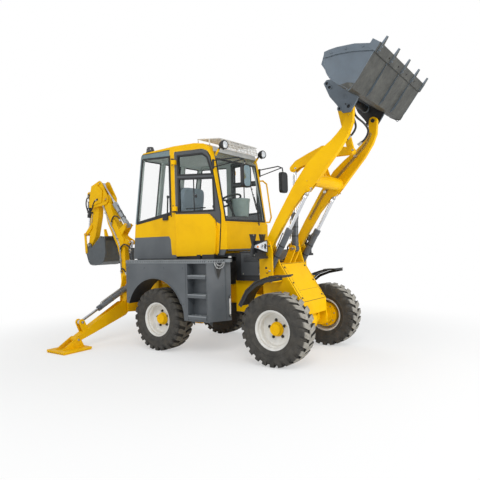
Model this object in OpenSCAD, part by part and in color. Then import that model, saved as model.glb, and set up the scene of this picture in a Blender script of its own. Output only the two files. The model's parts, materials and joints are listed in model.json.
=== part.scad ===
// Articulated backhoe loader, in millimetres.
// X points to the loader bucket, Y to the machine's left, Z up. The origin is on the ground
// under the middle of the whole machine, and outlines are drawn from the rear axle (see from_axle).

/* [Wheels] */
// Distance between the two axles
wheelbase = 1820; // [1800:1:1840]
// Distance between the wheel centres of one axle
track = 1360; // [1350:1:1370]
// Outer diameter of a tyre, over its lugs
tyre_d = 840; // [830:1:846]
// Widest part of a tyre
tyre_w = 304; // [290:1:310]
// Number of lugs round a tyre
lugs = 20; // [16:1:20]
// Height of a lug
lug_h = 22; // [16:1:26]
// Diameter of the rim where the tyre seats
rim_d = 444; // [430:1:450]
// Diameter of the driven hub in the rim
hub_d = 145; // [120:1:170]

/* [Rear frame] */
// Half width over the step decks
deck_half_w = 845; // [835:1:855]
// Height of the deck's top
deck_top = 1225; // [1220:1:1230]
// Thickness of the deck's plate
deck_t = 50; // [40:1:60]
// Radius of the brake drums
drum_r = 160; // [140:1:170]
// Radius of the arch cut for the rear tyre
arch_r = 530; // [500:1:540]
// Thickness of the side skirts
skirt_t = 16; // [10:1:20]
// Half distance between the rear frame rails, over their outer faces
rail_half_w = 300; // [290:1:310]
// Thickness of the frame plates
plate_t = 25; // [20:1:30]
// Radius of the tie-down holes in the rear rails
tie_down_r = 20; // [15:1:25]

/* [Steering pivot] */
// Pivot's distance ahead of the rear axle
pivot_ahead = 910; // [905:1:915]
// Radius of the pivot pin
pivot_pin_r = 35; // [30:1:40]
// Radius of the knuckle and ears around the pin
pivot_ear_r = 85; // [80:1:90]
// Running clearance of a pin in its bore
pin_gap = 0.5; // [0.3:0.1:1]

/* [Cab] */
// Height of the cab's underside
cab_floor = 1235; // [1232:1:1240]
// Thickness of the cab walls
cab_wall = 40; // [35:1:45]
// Half width of the cab at the door posts
cab_half_w = 660; // [655:1:665]
// Half width of the cab at the front corners
cab_front_half_w = 510; // [505:1:515]
// Half width of the cab at its back
cab_rear_half_w = 650; // [645:1:655]
// Gap around each door
door_gap = 6; // [5:1:8]
// Thickness of the window glass
glass_t = 5; // [4:1:8]
// Radius of a work lamp
lamp_r = 56; // [50:1:60]
// Width of the guard over the roof
guard_w = 900; // [840:10:920]
// Number of bars along the guard
guard_bars = 13; // [7:2:15]
// Radius of the steering wheel
steer_r = 180; // [165:1:185]

/* [Loader] */
// Distance from the centre plane to the middle of each arm
arm_y = 375; // [373:1:377]
// Thickness of each arm
arm_t = 60; // [56:1:62]
// Outer radius of a lift cylinder
lift_barrel_r = 38; // [34:1:38]
// Radius of a lift rod
lift_rod_r = 22; // [18:1:24]
// Radius of the tilt cylinder
tilt_barrel_r = 42; // [36:1:44]
// Half width of the loader bucket
bucket_half_w = 800; // [780:1:820]
// Number of ribs under the loader bucket
bucket_ribs = 3; // [1:1:6]
// Thickness of the loader bucket's plates
bucket_t = 16; // [12:1:20]
// Number of teeth on the loader bucket
bucket_teeth = 5; // [3:1:7]

/* [Hoe] */
// Distance of the swing post's axis behind the rear axle
swing_back = 1320; // [1315:1:1325]
// Half thickness of the hoe boom
boom_half_t = 75; // [70:1:75]
// Half thickness of the dipper's beam
dipper_half_t = 50; // [46:1:50]
// Outer radius of the hoe cylinders
hoe_barrel_r = 42; // [36:1:42]
// Radius of the hoe rods
hoe_rod_r = 20; // [16:1:22]
// Half width of the hoe bucket
hoe_bucket_half_w = 205; // [195:1:215]
// Thickness of the hoe bucket's plates
hoe_bucket_t = 12; // [10:1:16]
// Number of teeth on the hoe bucket
hoe_teeth = 3; // [3:1:5]

/* [Stabilisers] */
// Distance of the leg's middle plane behind the rear axle
leg_back = 1100; // [1095:1:1105]
// Thickness of a leg
leg_t = 110; // [100:1:116]
// Length of a foot pad across the machine
pad_l = 440; // [400:1:480]
// Width of a foot pad along the machine
pad_w = 400; // [360:1:420]
// Thickness of a foot pad's plate
pad_t = 22; // [18:1:30]

/* [Hidden] */
$fn = 64;
// distance from the origin back to the rear axle
origin_back = 332;
wheel_r = tyre_d / 2;
front_x = wheelbase;
seat_gap = 0.5;
// outer faces of a wheel's disc and hub, from the wheel's middle plane
disc_out = 6;
hub_out = 46;
// how far the shoulder end of a lug lags its middle, in degrees
lug_lag = 5;

// Tie-down hole, as [x, z] from the rear axle
tie_down = [-800, 700];

// Pins of the loader, as [x, z] from the rear axle
arm_root = [1545, 1375];
arm_tip = [2645, 2875];
lift_base = [1550, 1070];
lift_eye = [2115, 2027];
tilt_base = [1700, 1330];
rocker_pin = [2150, 2510];
hook_pin = [1726, 2349];
link_low = [2496, 2473];
link_top = [2380, 2995];

// Pins of the hoe, as [x, z] from the rear axle
boom_foot = [-1508, 700];
boom_cyl_base = [-1372, 920];
boom_cyl_eye = [-1385, 1490];
dipper_pin = [-1915, 2241];
dipper_cyl_base = [-1455, 1775];
dipper_cyl_eye = [-2067, 2524];
bucket_cyl_base = [-2409, 2381];
idler_pin = [-2356, 1787];
idler_end = [-2490, 1660];
hoe_bucket_pin = [-2402, 1470];
hoe_bucket_ear = [-2468, 1350];

// Pins of the right stabiliser, as [y, z]
leg_hip = [-262, 590];
leg_cyl_base = [-321, 801];
leg_cyl_eye = [-1231, 371];
pad_pin = [-1318, 143];

yellow = "#E8B80F";
slate = "#5A6065";
dark = "#26282A";

// Moves what is drawn from the rear axle into the part's own frame
module from_axle() { translate([-origin_back, 0, 0]) children(); }

// Draws its children on both sides of the centre plane
module both() {
    children();
    mirror([0, 1, 0]) children();
}

// An outline of [x, z] points as a plate of thickness t with its middle at y
module side(pts, y, t) {
    translate([0, y + t / 2, 0]) rotate([90, 0, 0]) linear_extrude(t) polygon(pts);
}

// Two circles and the straight plate between them, flat
module bar_outline(p, q, rp, rq) {
    d = q - p;
    a = atan2(d[1], d[0]);
    b = acos((rp - rq) / norm(d));
    translate(p) circle(rp);
    translate(q) circle(rq);
    polygon([
        p + rp * [cos(a + b), sin(a + b)], p + rp * [cos(a - b), sin(a - b)],
        q + rq * [cos(a - b), sin(a - b)], q + rq * [cos(a + b), sin(a + b)]]);
}

// A rounded bar from p to q in the plane of the arms
module bar(p, q, rp, rq, y, t) {
    translate([0, y + t / 2, 0]) rotate([90, 0, 0]) linear_extrude(t) bar_outline(p, q, rp, rq);
}

// A chain of rounded bars, each entry of pts being [[x, z], radius]
module chain(pts, y, t) {
    for (i = [0:len(pts) - 2])
        bar(pts[i][0], pts[i + 1][0], pts[i][1], pts[i + 1][1], y, t);
}

// A round pin across the machine at p, from y0 to y1
module pin(p, r, y0, y1) {
    translate([p[0], y0, p[1]]) rotate([-90, 0, 0]) cylinder(r = r, h = y1 - y0);
}

// A round rod between two points [x, z] in the plane y
module rod(p, q, r, y) {
    d = q - p;
    translate([p[0], y, p[1]]) rotate([0, 90 - atan2(d[1], d[0]), 0]) cylinder(r = r, h = norm(d));
}

// A round bar between two points in space
module strut(p, q, r) {
    d = q - p;
    translate(p) rotate([0, acos(d[2] / norm(d)), atan2(d[1], d[0])]) cylinder(r = r, h = norm(d));
}

// A bent tube through points in space, with a ball at each bend
module tube(pts, r) {
    for (i = [0:len(pts) - 2]) strut(pts[i], pts[i + 1], r);
    for (i = [1:len(pts) - 2]) translate(pts[i]) sphere(r = r + 1, $fn = 24);
}

// Outline of a w by h rectangle with corners of radius r, its middle at the origin
function rounded(w, h, r) = [for (c = [0:3], k = [0:4])
    let (a = c * 90 + k * 22.5, sx = c == 0 || c == 3 ? 1 : -1, sy = c < 2 ? 1 : -1)
    [sx * (w / 2 - r) + r * cos(a), sy * (h / 2 - r) + r * sin(a)]];

// The point at distance s from p towards q
function along(p, q, s) = p + (q - p) * s / norm(q - p);

// Barrel of a cylinder: eye at base, tube, and gland of length l in all
module barrel(base, eye, l, r, y, t, bore) {
    end = along(base, eye, l);
    collar = along(base, eye, l - 2 * r);
    difference() {
        union() {
            pin(base, bore + 20, y - t / 2, y + t / 2);
            rod(along(base, eye, 8 + bore), end, r, y);
            rod(collar, end, r + 4, y);
        }
        pin(base, bore + pin_gap, y - t, y + t);
        rod(along(base, eye, bore + 32), along(base, eye, l + 1), r - 7, y);
    }
}

// Rod of the same cylinder, from inside the barrel to its eye; its last part is a flat neck
module ram(base, eye, l, r, piston_r, y, t, bore, neck) {
    start = along(base, eye, l - 90);
    reach = norm(eye - base);
    difference() {
        union() {
            rod(start, along(base, eye, reach - neck), r, y);
            rod(start, along(base, eye, l - 60), piston_r, y);
            pin(eye, bore + 14, y - t / 2, y + t / 2);
            bar(along(base, eye, reach - neck - 6), eye, r - 2, r - 1, y, t);
        }
        pin(eye, bore + pin_gap, y - t, y + t);
    }
}

// Rear half

module rear_chassis() {
    rail = [[-1005, 560], [-1005, 840], [-600, 860], [640, 860], [760, 800], [790, 640],
        [700, 560], [300, 540], [230, 520], [-230, 520], [-300, 540]];
    tongue = [[700, 620], [700, 850], [pivot_ahead, 850], [pivot_ahead, 620]];
    color(yellow) from_axle() difference() {
        union() {
            both() side(rail, rail_half_w - plate_t / 2, plate_t);
            // cross members that tie the rails
            for (x = [-1005, -560, 340])
                translate([x, -rail_half_w + plate_t, 600]) cube([40, 2 * (rail_half_w - plate_t), 50]);
            translate([690, -rail_half_w + plate_t, 620])
                cube([40, 2 * (rail_half_w - plate_t), 230]);
            // tongue and knuckle of the steering pivot
            side(tongue, 0, 150);
            translate([pivot_ahead, 0, 620]) cylinder(r = pivot_ear_r, h = 230);
            // outriggers under the decks and posts under the cab
            for (x = [-480, 580]) both() {
                translate([x, rail_half_w - 1, 780])
                    cube([60, 50, deck_top - deck_t - 780]);
                translate([x, rail_half_w - 1, deck_top - deck_t - 60])
                    cube([60, (x < 0 ? deck_half_w - 60 : 521) - rail_half_w, 60]);
            }
            for (x = [-430, 640]) both()
                translate([x, 420, deck_top - deck_t - 20])
                    cylinder(r = 30, h = cab_floor - deck_top + deck_t + 20);
        }
        translate([pivot_ahead, 0, 600]) cylinder(r = pivot_pin_r + pin_gap, h = 300);
        both() pin(tie_down, tie_down_r, rail_half_w - 2 * plate_t, rail_half_w + plate_t);
    }
}

module engine() {
    color(dark) from_axle() translate([-60, -230, 650 + seat_gap]) cube([720 - 40, 460, 520]);
}

module axle_beam(x) {
    translate([x, 0, wheel_r]) rotate([90, 0, 0]) cylinder(r = 60, h = track - 29, center = true);
    // drum at each end, inside the rim, and the flange that carries it
    both() translate([x, track / 2 - 14, wheel_r]) rotate([90, 0, 0]) {
        cylinder(r = drum_r, h = 92);
        cylinder(r = drum_r - 45, h = 130);
    }
    // tapered housing of the gears in the middle
    translate([x, 0, wheel_r]) sphere(r = 150);
    both() translate([x, 90, wheel_r]) rotate([-90, 0, 0]) cylinder(r1 = 110, r2 = 66, h = 160);
    both() translate([x - 60, 235, wheel_r]) cube([120, 55, 100 - seat_gap]);
}

module rear_axle() { color(yellow) from_axle() axle_beam(0); }

// Deck, skirt, wheel arch and tank of the right side
module deck(recess_d = 110) {
    front_corner = [1075, -560];
    tank = [[500, -deck_half_w], [925, -deck_half_w], front_corner, [860, -520], [500, -520]];
    plate = [[-550, -deck_half_w], [925, -deck_half_w], front_corner, [860, -520], [-550, -520]];
    skirt = [[-550, 630], [-550, deck_top - deck_t], [560, deck_top - deck_t], [560, 600]];
    difference() {
        union() {
            translate([0, 0, deck_top - deck_t]) linear_extrude(deck_t) polygon(plate);
            translate([0, 0, 450]) linear_extrude(deck_top - deck_t - 450) polygon(tank);
            side(skirt, -deck_half_w + skirt_t / 2, skirt_t);
            translate([-550, -deck_half_w, 630]) cube([skirt_t, 250, deck_top - deck_t - 630]);
            // liner over the tyre
            intersection() {
                translate([0, -520, 450]) rotate([90, 0, 0])
                    cylinder(r = arch_r + 14, h = deck_half_w - 520);
                translate([-550, -deck_half_w, 620]) cube([1100, 400, 400]);
            }
        }
        translate([0, -500, 450]) rotate([90, 0, 0]) cylinder(r = arch_r, h = 500);
        // ladder recess
        translate([605, -deck_half_w - 1, 500]) cube([310, recess_d, deck_top - deck_t - 500]);
    }
    for (z = [476, 745, 985])
        translate([612, -deck_half_w - 12, z]) cube([296, recess_d + 14, 45]);
}

module deck_right() { color(slate) from_axle() deck(); }
module deck_left() { color(slate) from_axle() mirror([0, 1, 0]) deck(); }

// Cab

// Work lamps: foot of the stalk and back of the lamp, as [x, z], and the stalk's length
lamp_foot = [800, 2580];
lamp_back = [894, 2690];
stalk_l = 105;
lamp_y = 459;
mirror_y = 465;
// underside of the beacon, which stands on the roof
beacon_z = 2738.7;
front_glass_low = [955, 1700];
front_glass_top = [812, 2560];
function cab_plan(o) = [
    [-700, -cab_rear_half_w + o], [250, -cab_half_w + o], [950, -cab_front_half_w + o], [1010, -480 + o],
    [1010, 480 - o], [950, cab_front_half_w - o], [250, cab_half_w - o],
    [-700, cab_rear_half_w - o]];
cab_side = [[-600, cab_floor], [-550, 1720], [-392, 2690], [-350, 2735], [560, 2762],
    [690, 2742], [770, 2690], front_glass_top, front_glass_low, [985, 1680], [985, 1345],
    [770, 1345], [725, cab_floor]];
cab_side_in = [[-555, cab_floor + 50], [-510, 1720], [-360, 2660], [-330, 2690], [560, 2712],
    [660, 2700], [722, 2655], [front_glass_top[0] - 42, 2545], [front_glass_low[0] - 42, 1700],
    [940, 1660], [940, 1400], [740, 1400], [700, cab_floor + 50]];

module cab_outer() {
    intersection() {
        translate([0, 0, 1000]) linear_extrude(2000) polygon(cab_plan(0));
        side(cab_side, 0, 1600);
    }
}
module cab_inner() {
    intersection() {
        translate([0, 0, 1000]) linear_extrude(2000) polygon(cab_plan(cab_wall));
        side(cab_side_in, 0, 1600);
    }
}

// Outlines of the door in its own plane: u from the hinge, then z
door_u = 670;
door_outline = [[10, 1262], [600, 1262], [640, 1300], [door_u, 1700], [door_u, 1820],
    [540, 2560], [500, 2630], [430, 2665], [10, 2665]];
door_angle = atan2(cab_half_w - cab_front_half_w, 700);

// Places a child drawn in the door's own plane on the right side
module on_door() {
    translate([250, -cab_half_w, 0]) rotate([0, 0, door_angle]) children();
}
// Prism of a door outline grown by g, between two depths from the outer face
module door_prism(pts, y0, y1) {
    on_door() translate([0, y1, 0]) rotate([90, 0, 0]) linear_extrude(y1 - y0) polygon(pts);
}

// The lower rear part of the cab, which is painted grey
base_outline = [[-700, 1200], [-700, 1540], [120, 1540], [150, 1500], [165, 1300], [200, 1200]];

// depth of the quarter glass in its wall
cab_rear_in = 5;
quarter_window = [[-512, 1735], [165, 1832], [165, 2625], [-345, 2652], [-370, 2640]];

module cab_openings() {
    // right and left quarter windows
    both() side(quarter_window, 750, 300);
    // three lights of the rear window
    for (y = [-600, -185, 255])
        translate([-800, y, 1735]) cube([500, y == -185 ? 370 : 345, 915]);
    // windscreen
    front = [[1100, 1720], [900, 1720], [760, 2545], [1100, 2545]];
    side(front, 0, 940);
    // the two doors
    both() door_prism([[4, 1240], [610, 1240], [654, 1290], [684, 1700], [684, 1822],
        [552, 2568], [508, 2642], [434, 2675], [4, 2675]], -60, 60);
}

module cab_shell() {
    color(yellow) from_axle() difference() {
        cab_outer();
        cab_inner();
        cab_openings();
        side([for (p = base_outline) p + [0, seat_gap]], 0, 2000);
        translate([-800, -900, 1200]) cube([1700, 1800, 85 + seat_gap]);
    }
    color(yellow) from_axle() {
        // stalks of the work lamps
        both() rod(lamp_foot, along(lamp_foot, lamp_back, stalk_l), 15, lamp_y);
        // grab rail beside the left door
        tube([[842, 518, 2330], [862, 590, 2340], [926, 590, 2286], [992, 590, 1790],
            [962, 590, 1720], [936, 500, 1712]], 11);
    }
}

module cab_base() {
    color(slate) from_axle() difference() {
        cab_outer();
        cab_inner();
        both() door_prism([[4, 1240], [610, 1240], [654, 1290], [684, 1700], [684, 1822],
            [4, 1822]], -60, 60);
        difference() {
            translate([-800, -900, 1285]) cube([2000, 1800, 2000]);
            side([for (p = base_outline) p - [seat_gap, 0]], 0, 2000);
        }
        translate([770, -900, 1200]) cube([500, 1800, 400]);
    }
}

module cab_glass() {
    color("#9DB4B0", 0.4) from_axle() {
        // windscreen, set in its opening
        side([front_glass_low + [-22, 20.3], front_glass_low + [-22 + glass_t, 20.3],
            front_glass_top + [-20 + glass_t, -15.3], front_glass_top + [-20, -15.3]], 0, 939.4);
        // quarter windows
        both() intersection() {
            side([[-511.6, 1735.4], [164.7, 1832.4], [164.7, 2624.7], [-345, 2651.6], [-369.6, 2639.8]], 0, 2000);
            translate([0, 0, 1000]) linear_extrude(2000) polygon([
                [-700, cab_rear_in - cab_rear_half_w], [250, cab_rear_in - cab_half_w],
                [250, cab_rear_in + glass_t - cab_half_w], [-700, cab_rear_in + glass_t - cab_rear_half_w]]);
        }
        // rear lights
        for (y = [-427.5, 0, 427.5])
            side([[-535, 1735.3], [-535 + glass_t, 1735.3], [-388 + glass_t, 2649.7],
                [-388, 2649.7]], y, y == 0 ? 369.4 : 344.4);
    }
}

module door(bulge = 38) {
    upper = [[52, 1852], [590, 1852], [583, 2285], [52, 2310]];
    top = [[52, 2350], [576, 2325], [505, 2560], [425, 2618], [52, 2618]];
    lower = [[20, 1268], [560, 1268], [600, 1300], [622, 1600], [600, 1730], [520, 1810], [20, 1830]];
    difference() {
        union() {
            door_prism(door_outline, 0, 40);
            door_prism(lower, -bulge, 1);
            // two hinges outside the post
            for (z = [1875, 2500])
                on_door() translate([-5, -45, z]) cylinder(r = 12, h = 60);
            for (z = [1875, 2500])
                on_door() {
                    translate([-5, -45, z]) cube([40, 44, 60]);
                    translate([14, -3, z]) cube([21, 6, 60]);
                }
        }
        door_prism(upper, -80, 80);
        door_prism(top, -80, 80);
        // hollow inside of the panel
        door_prism([[60, 1310], [560, 1310], [590, 1600], [500, 1780], [60, 1790]], 6 - bulge, 80);
        for (z = [1875, 2500])
            on_door() translate([-5, -45, z - 20]) cylinder(r = 6 + pin_gap, h = 100);
    }
}
module door_right() { color(yellow) from_axle() door(); }
module door_left() { color(yellow) from_axle() mirror([0, 1, 0]) door(); }

module door_glass_right() { color("#9DB4B0", 0.4) from_axle() door_glass_set(); }
module door_glass_left() { color("#9DB4B0", 0.4) from_axle() mirror([0, 1, 0]) door_glass_set(); }
module door_glass_set() {
    door_prism([[53, 1853], [589, 1853], [582, 2284], [53, 2309]], 17, 17 + glass_t);
    door_prism([[53, 2351], [574, 2327], [504, 2559], [425, 2617], [53, 2617]], 17, 17 + glass_t);
}

// A grid of bars in the plane of X and Y, n_long bars along X and n_cross along Y
module grid(l, w, n_long, n_cross, t) {
    for (i = [0:n_long - 1])
        translate([0, -w / 2 + i * (w - t) / (n_long - 1), 0]) cube([l, t, t]);
    for (i = [0:n_cross - 1])
        translate([i * (l - t) / (n_cross - 1), -w / 2, 0]) cube([t, w, t]);
}

module roof_guard() {
    // a cage of bars over the front of the roof, bent down before the windscreen's top
    back = [490, 2842];
    bend = [868, 2800];
    low = [905, 2668];
    t = 8;
    color("silver") from_axle() {
        translate([back[0], 0, back[1]]) rotate([0, atan2(back[1] - bend[1], bend[0] - back[0]), 0])
            grid(norm(bend - back), guard_w, guard_bars, 7, t);
        translate([bend[0] - 5, 0, bend[1] + t])
            rotate([0, atan2(bend[1] - low[1], low[0] - bend[0]), 0])
            grid(norm(low - bend), 2 * (lamp_y - lamp_r - 6), guard_bars - 2, 4, t);
        // feet on the roof
        both() for (foot = [[505, 2760.7, 2845], [700, 2741.9, 2823]])
            translate([foot[0], guard_w / 2 - t / 2, foot[1]]) cylinder(r = 9, h = foot[2] - foot[1]);
    }
}

module cab_fittings() {
    color(dark) from_axle() {
        // beacon at the back of the roof
        translate([-300, -560, beacon_z]) cylinder(r = 62, h = 26);
        translate([-300, -560, beacon_z + 25]) cylinder(r1 = 54, r2 = 44, h = 66);
        both() {
            // work lamp at the end of its stalk
            rod(along(lamp_foot, lamp_back, stalk_l + 0.3), lamp_back + [10, 10], 12, lamp_y);
            translate([lamp_back[0] - 2, lamp_y, lamp_back[1] + 13]) rotate([0, 90, 0]) {
                cylinder(r1 = lamp_r - 20, r2 = lamp_r - 2, h = 36);
                translate([0, 0, 35]) cylinder(r = lamp_r, h = 36);
            }
            // mirror on two tubes
            translate([822, 538, 2395]) cube([22, 24, 120]);
            tube([[834, 556, 2500], [1190, 490, 2506], [1272, 470, 2470], [1280, mirror_y, 2390]], 8);
            strut([834, 556, 2410], [1262, 472, 2475], 7);
            translate([1262, mirror_y, 2262]) rotate([90, 0, 90])
                linear_extrude(42) polygon(rounded(170, 292, 40));
            // door hinge pins
            for (z = [1855, 2480])
                mirror([0, 1, 0]) on_door() translate([-5, -45, z]) cylinder(r = 6, h = 100);
            for (z = [1855, 2562])
                mirror([0, 1, 0]) on_door() translate([-17, -57, z]) cube([24, 56, 17]);
        }
    }
}

module seat() {
    color(dark) from_axle() {
        translate([40, -240, 1500]) cube([470, 480, 120]);
        side([[-20, 1560], [60, 1560], [-60, 2260], [-150, 2240]], 0, 460);
        translate([120, -150, 1285 + seat_gap]) cube([300, 300, 214]);
    }
}

// Middle of the steering wheel, as [x, z]
wheel_at = [660, 2025];
module controls() {
    color(dark) from_axle() {
        // pedestal, column and steering wheel
        side([[770, 1400 + seat_gap], [930, 1400 + seat_gap], [930, 1650], [880, 1790],
            [750, 1790]], 0, 300);
        rod([790, 1780], wheel_at, 30, 0);
        translate([wheel_at[0], 0, wheel_at[1]]) rotate([0, -25, 0]) {
            rotate_extrude() translate([steer_r, 0]) circle(r = 14, $fn = 24);
            cube([30, 2 * steer_r, 12], center = true);
            cylinder(r = 45, h = 30, center = true);
        }
        // console for the hoe, with its levers
        translate([-440, -300, 1285 + seat_gap]) cube([180, 600, 560]);
        for (y = [-200, -70, 70, 200])
            rod([-350, 1840], [-330, 2140], 11, y);
    }
}

module hoe_frame() {
    outline = [[-430, 420], [-430, 700], [-380, 960], [380, 960], [430, 700], [430, 420],
        [200, 400], [-200, 400]];
    color(yellow) from_axle() difference() {
        union() {
            // the two cross plates that hold the legs
            for (x = [-leg_back + leg_t / 2 + 15, -leg_back - leg_t / 2 - 15 - plate_t])
                translate([x, 0, 0]) rotate([90, 0, 90]) linear_extrude(plate_t) polygon(outline);
            // box between the plates
            translate([-leg_back - leg_t / 2 - 16, -70, 430]) cube([leg_t + 32, 140, 500]);
            // ears and pin of the swing post
            for (z = [480, 810]) {
                translate([-swing_back, 0, z]) cylinder(r = 85, h = 40);
                translate([-swing_back, -85, z])
                    cube([swing_back - leg_back - leg_t / 2 - 15, 170, 40]);
            }
            translate([-swing_back, 0, 470]) cylinder(r = 35, h = 395);
            // pins of legs and cylinders
            for (p = [leg_hip, leg_cyl_base]) both()
                translate([-leg_back - leg_t / 2 - 16, p[0], p[1]]) rotate([0, 90, 0])
                    cylinder(r = p == leg_hip ? 28 : 22, h = leg_t + 32);
        }
    }
}

// Front half

module front_chassis() {
    plate = [[985, 530], [985, 935], [1436, 935], [1440, 1380], [1500, 1432],
        [1590, 1432], [1625, 1250], [1655, 1150], [1957, 677], [1972, 360], [1900, 330],
        [1740, 330], [1560, 500], [1200, 530]];
    tower = [[1440, 960], [1440, 1380], [1500, 1432], [1590, 1432], [1625, 1330], [1625, 960]];
    slot = arm_y + 45;
    color(yellow) from_axle() difference() {
        union() {
            both() {
                side(plate, 300 + plate_t / 2, plate_t);
                side(tower, slot + plate_t / 2, plate_t);
                // web and shelf that join the two plates of the tower
                translate([1440, 300, 960]) cube([24, slot - 300, 420]);
                translate([1440, 300, 960]) cube([185, slot - 300, 25]);
                pin(arm_root, 30, 310, slot + 5);
                pin(lift_base, 20, 310, slot + 5);
            }
            // rear plate and ears of the steering pivot
            translate([pivot_ahead + pivot_ear_r + 8, -300, 530]) cube([plate_t, 600, 405]);
            for (z = [560, 870]) {
                translate([pivot_ahead, 0, z]) cylinder(r = pivot_ear_r, h = 40);
                translate([pivot_ahead, -pivot_ear_r, z]) cube([100, 2 * pivot_ear_r, 40]);
            }
            translate([pivot_ahead, 0, 545]) cylinder(r = pivot_pin_r, h = 380);
            // inclined cover and the plate under it
            side([[1655, 1150], [1957, 677], [1940, 668], [1636, 1145]], 0, 602);
            side([[1957, 677], [1972, 520], [1956, 520], [1940, 668]], 0, 602);
            side([[1440, 985], [1440, 1160], [1456, 1160], [1456, 985]], 0, 602);
            side([[1440, 1150], [1655, 1150], [1640, 1134], [1440, 1134]], 0, 602);
            // seat over the axle
            both() translate([1750, 200, 520]) cube([140, 101, 40]);
            // lugs of the tilt cylinder
            for (y = [-60, 60])
                side([[1560, 1145], [1655, 1145], [1742, 1325], [1735, 1362], [1700, 1374],
                    [1665, 1358]], y, 24);
            pin(tilt_base, 22, -72, 72);
        }
        both() translate([1300, 290, 760]) cube([110, 60, 110]);
        both() pin([front_x, wheel_r], 60 + pin_gap, 290, 350);
    }
}

module hood() {
    color(slate) from_axle() {
        translate([1090, -370, 985]) cube([345, 740, 325]);
        translate([1030, -370, 935.3]) cube([400, 740, 49.7]);
        translate([1030, -370, 985]) cube([58, 740, 300]);
    }
}

module front_axle() {
    color(yellow) from_axle() {
        axle_beam(front_x);
    }
}

module mudguards() {
    arc = [[1375, 690], [1400, 676], [1500, 850], [1625, 950], [1780, 1003], [1985, 1028],
        [1985, 1045], [1775, 1022], [1615, 972], [1485, 868]];
    color(dark) from_axle() both() {
        side(arc, 705, 250);
        translate([1640, 325 + seat_gap, 950]) cube([50, 300, 22]);
    }
}

module headlamps() {
    color(dark) from_axle() both() {
        // shelf from the tower
        translate([1490, arm_y + 45 + plate_t + seat_gap, 1222]) cube([80, 320, 32]);
        // two waisted posts
        for (y = [506, 710]) translate([1520, y, 0]) rotate([90, 0, 90])
            linear_extrude(24) polygon([[-60, 1254], [-60, 1280], [-18, 1400], [-60, 1518],
                [60, 1518], [18, 1400], [60, 1280], [60, 1254]]);
        // lamp housing between them, with its rim and the lamp of the indicator beside it
        translate([1524, 510, 1296]) cube([60, 180, 146]);
        translate([1584, 600, 1369]) rotate([0, 90, 0]) cylinder(r = 62, h = 12);
        translate([1530, 470, 1253]) cube([30, 250, 50]);
    }
}

// Loader

module loader_arms() {
    edge = [[1500, 1400], [1532, 1461], [1665, 1687], [1912, 2068], [2104, 2316], [2257, 2441],
        [2421, 2549], [2487, 2605], [2559, 2678], [2578, 2741], [2595, 2875], [2695, 2875],
        [2682, 2713], [2630, 2592], [2525, 2440], [2328, 2216], [2217, 2085], [2130, 1995],
        [2070, 1985], [1891, 1794], [1650, 1439], [1600, 1345]];
    color(yellow) from_axle() difference() {
        union() {
            both() {
                side(edge, arm_y, arm_t);
                pin(arm_root, 60, arm_y - arm_t / 2, arm_y + arm_t / 2);
                pin(arm_tip, 50, arm_y - arm_t / 2, arm_y + arm_t / 2);
                // brackets of the rocker
                chain([[rocker_pin, 52], [[2090, 2330], 60], [[2140, 2150], 70]], 60, 16);
                pin(rocker_pin, 52, 52, 68);
            }
            pin([2145, 2140], 78, -arm_y, arm_y);
            pin(rocker_pin, 25, -60, 60);
        }
        both() {
            pin(arm_root, 30 + pin_gap, 300, 450);
            pin(arm_tip, 22 + pin_gap, 300, 450);
            // slot for the eye of the lift rod
            pin(lift_eye, 112, arm_y - 17, arm_y + 17);
        }
    }
}

module rocker() {
    color(yellow) from_axle() difference() {
        union() {
            both() chain([[hook_pin, 46], [[1790, 2400], 50], [[1960, 2455], 62],
                [rocker_pin, 72], [link_low, 42]], 36, 18);
            pin(rocker_pin, 60, -45, 45);
            pin([2010, 2470], 40, -40, 40);
            pin(link_low, 20, -40, 40);
        }
        pin(rocker_pin, 25 + pin_gap, -60, 60);
    }
}

module tilt_link() {
    color(yellow) from_axle() difference() {
        bar(link_low, link_top, 38, 36, 0, 44);
        pin(link_low, 20 + pin_gap, -40, 40);
    }
}

// The back of the loader bucket, which the coupler lies against
bucket_back = [[2517, 3264], [2555, 3200], [2600, 3100], [2680, 3020], [2770, 2965], [2841, 2944]];

// Holes of the coupler's side plates, as [[x, z], radius]
coupler_holes = [[[2407, 3182], 17], [[2439, 3133], 17], [[2548, 2872], 14], [[2655, 2880], 20]];
module coupler() {
    rim = [for (i = [1:4]) bucket_back[i] - [0.25, 0.25]];
    outline = concat([[2366, 3190], [2400, 3222], [2500, 3222]], rim,
        [[2748, 2925], [2670, 2816], [2583, 2820], [2515, 2922], [2434, 3028]]);
    color(slate) from_axle() union() {
        both() {
            difference() {
                side(outline, arm_y + 46, 22);
                for (hole = coupler_holes) pin(hole[0], hole[1], arm_y, arm_y + 80);
            }
            pin(arm_tip, 22, arm_y - arm_t / 2 - 20, arm_y + 40);
            side([[2420, 3060], [2500, 3120], [2560, 3060], [2520, 2990], [2400, 2960],
                [2352, 2990], [2370, 3030]], 40, 24);
        }
        pin([2530, 3060], 42, -arm_y - 40, arm_y + 40);
    }
}

// The bucket's floor runs from its heel to its lip
floor_heel = bucket_back[5];
floor_lip = [3143, 3330];
floor_l = norm(floor_lip - floor_heel);
floor_tilt = atan2(floor_lip[1] - floor_heel[1], floor_lip[0] - floor_heel[0]);

// Draws its children with X along the floor from the heel and Z into the bucket
module on_floor() {
    translate([floor_heel[0], 0, floor_heel[1]]) rotate([0, -floor_tilt, 0]) children();
}

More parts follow.
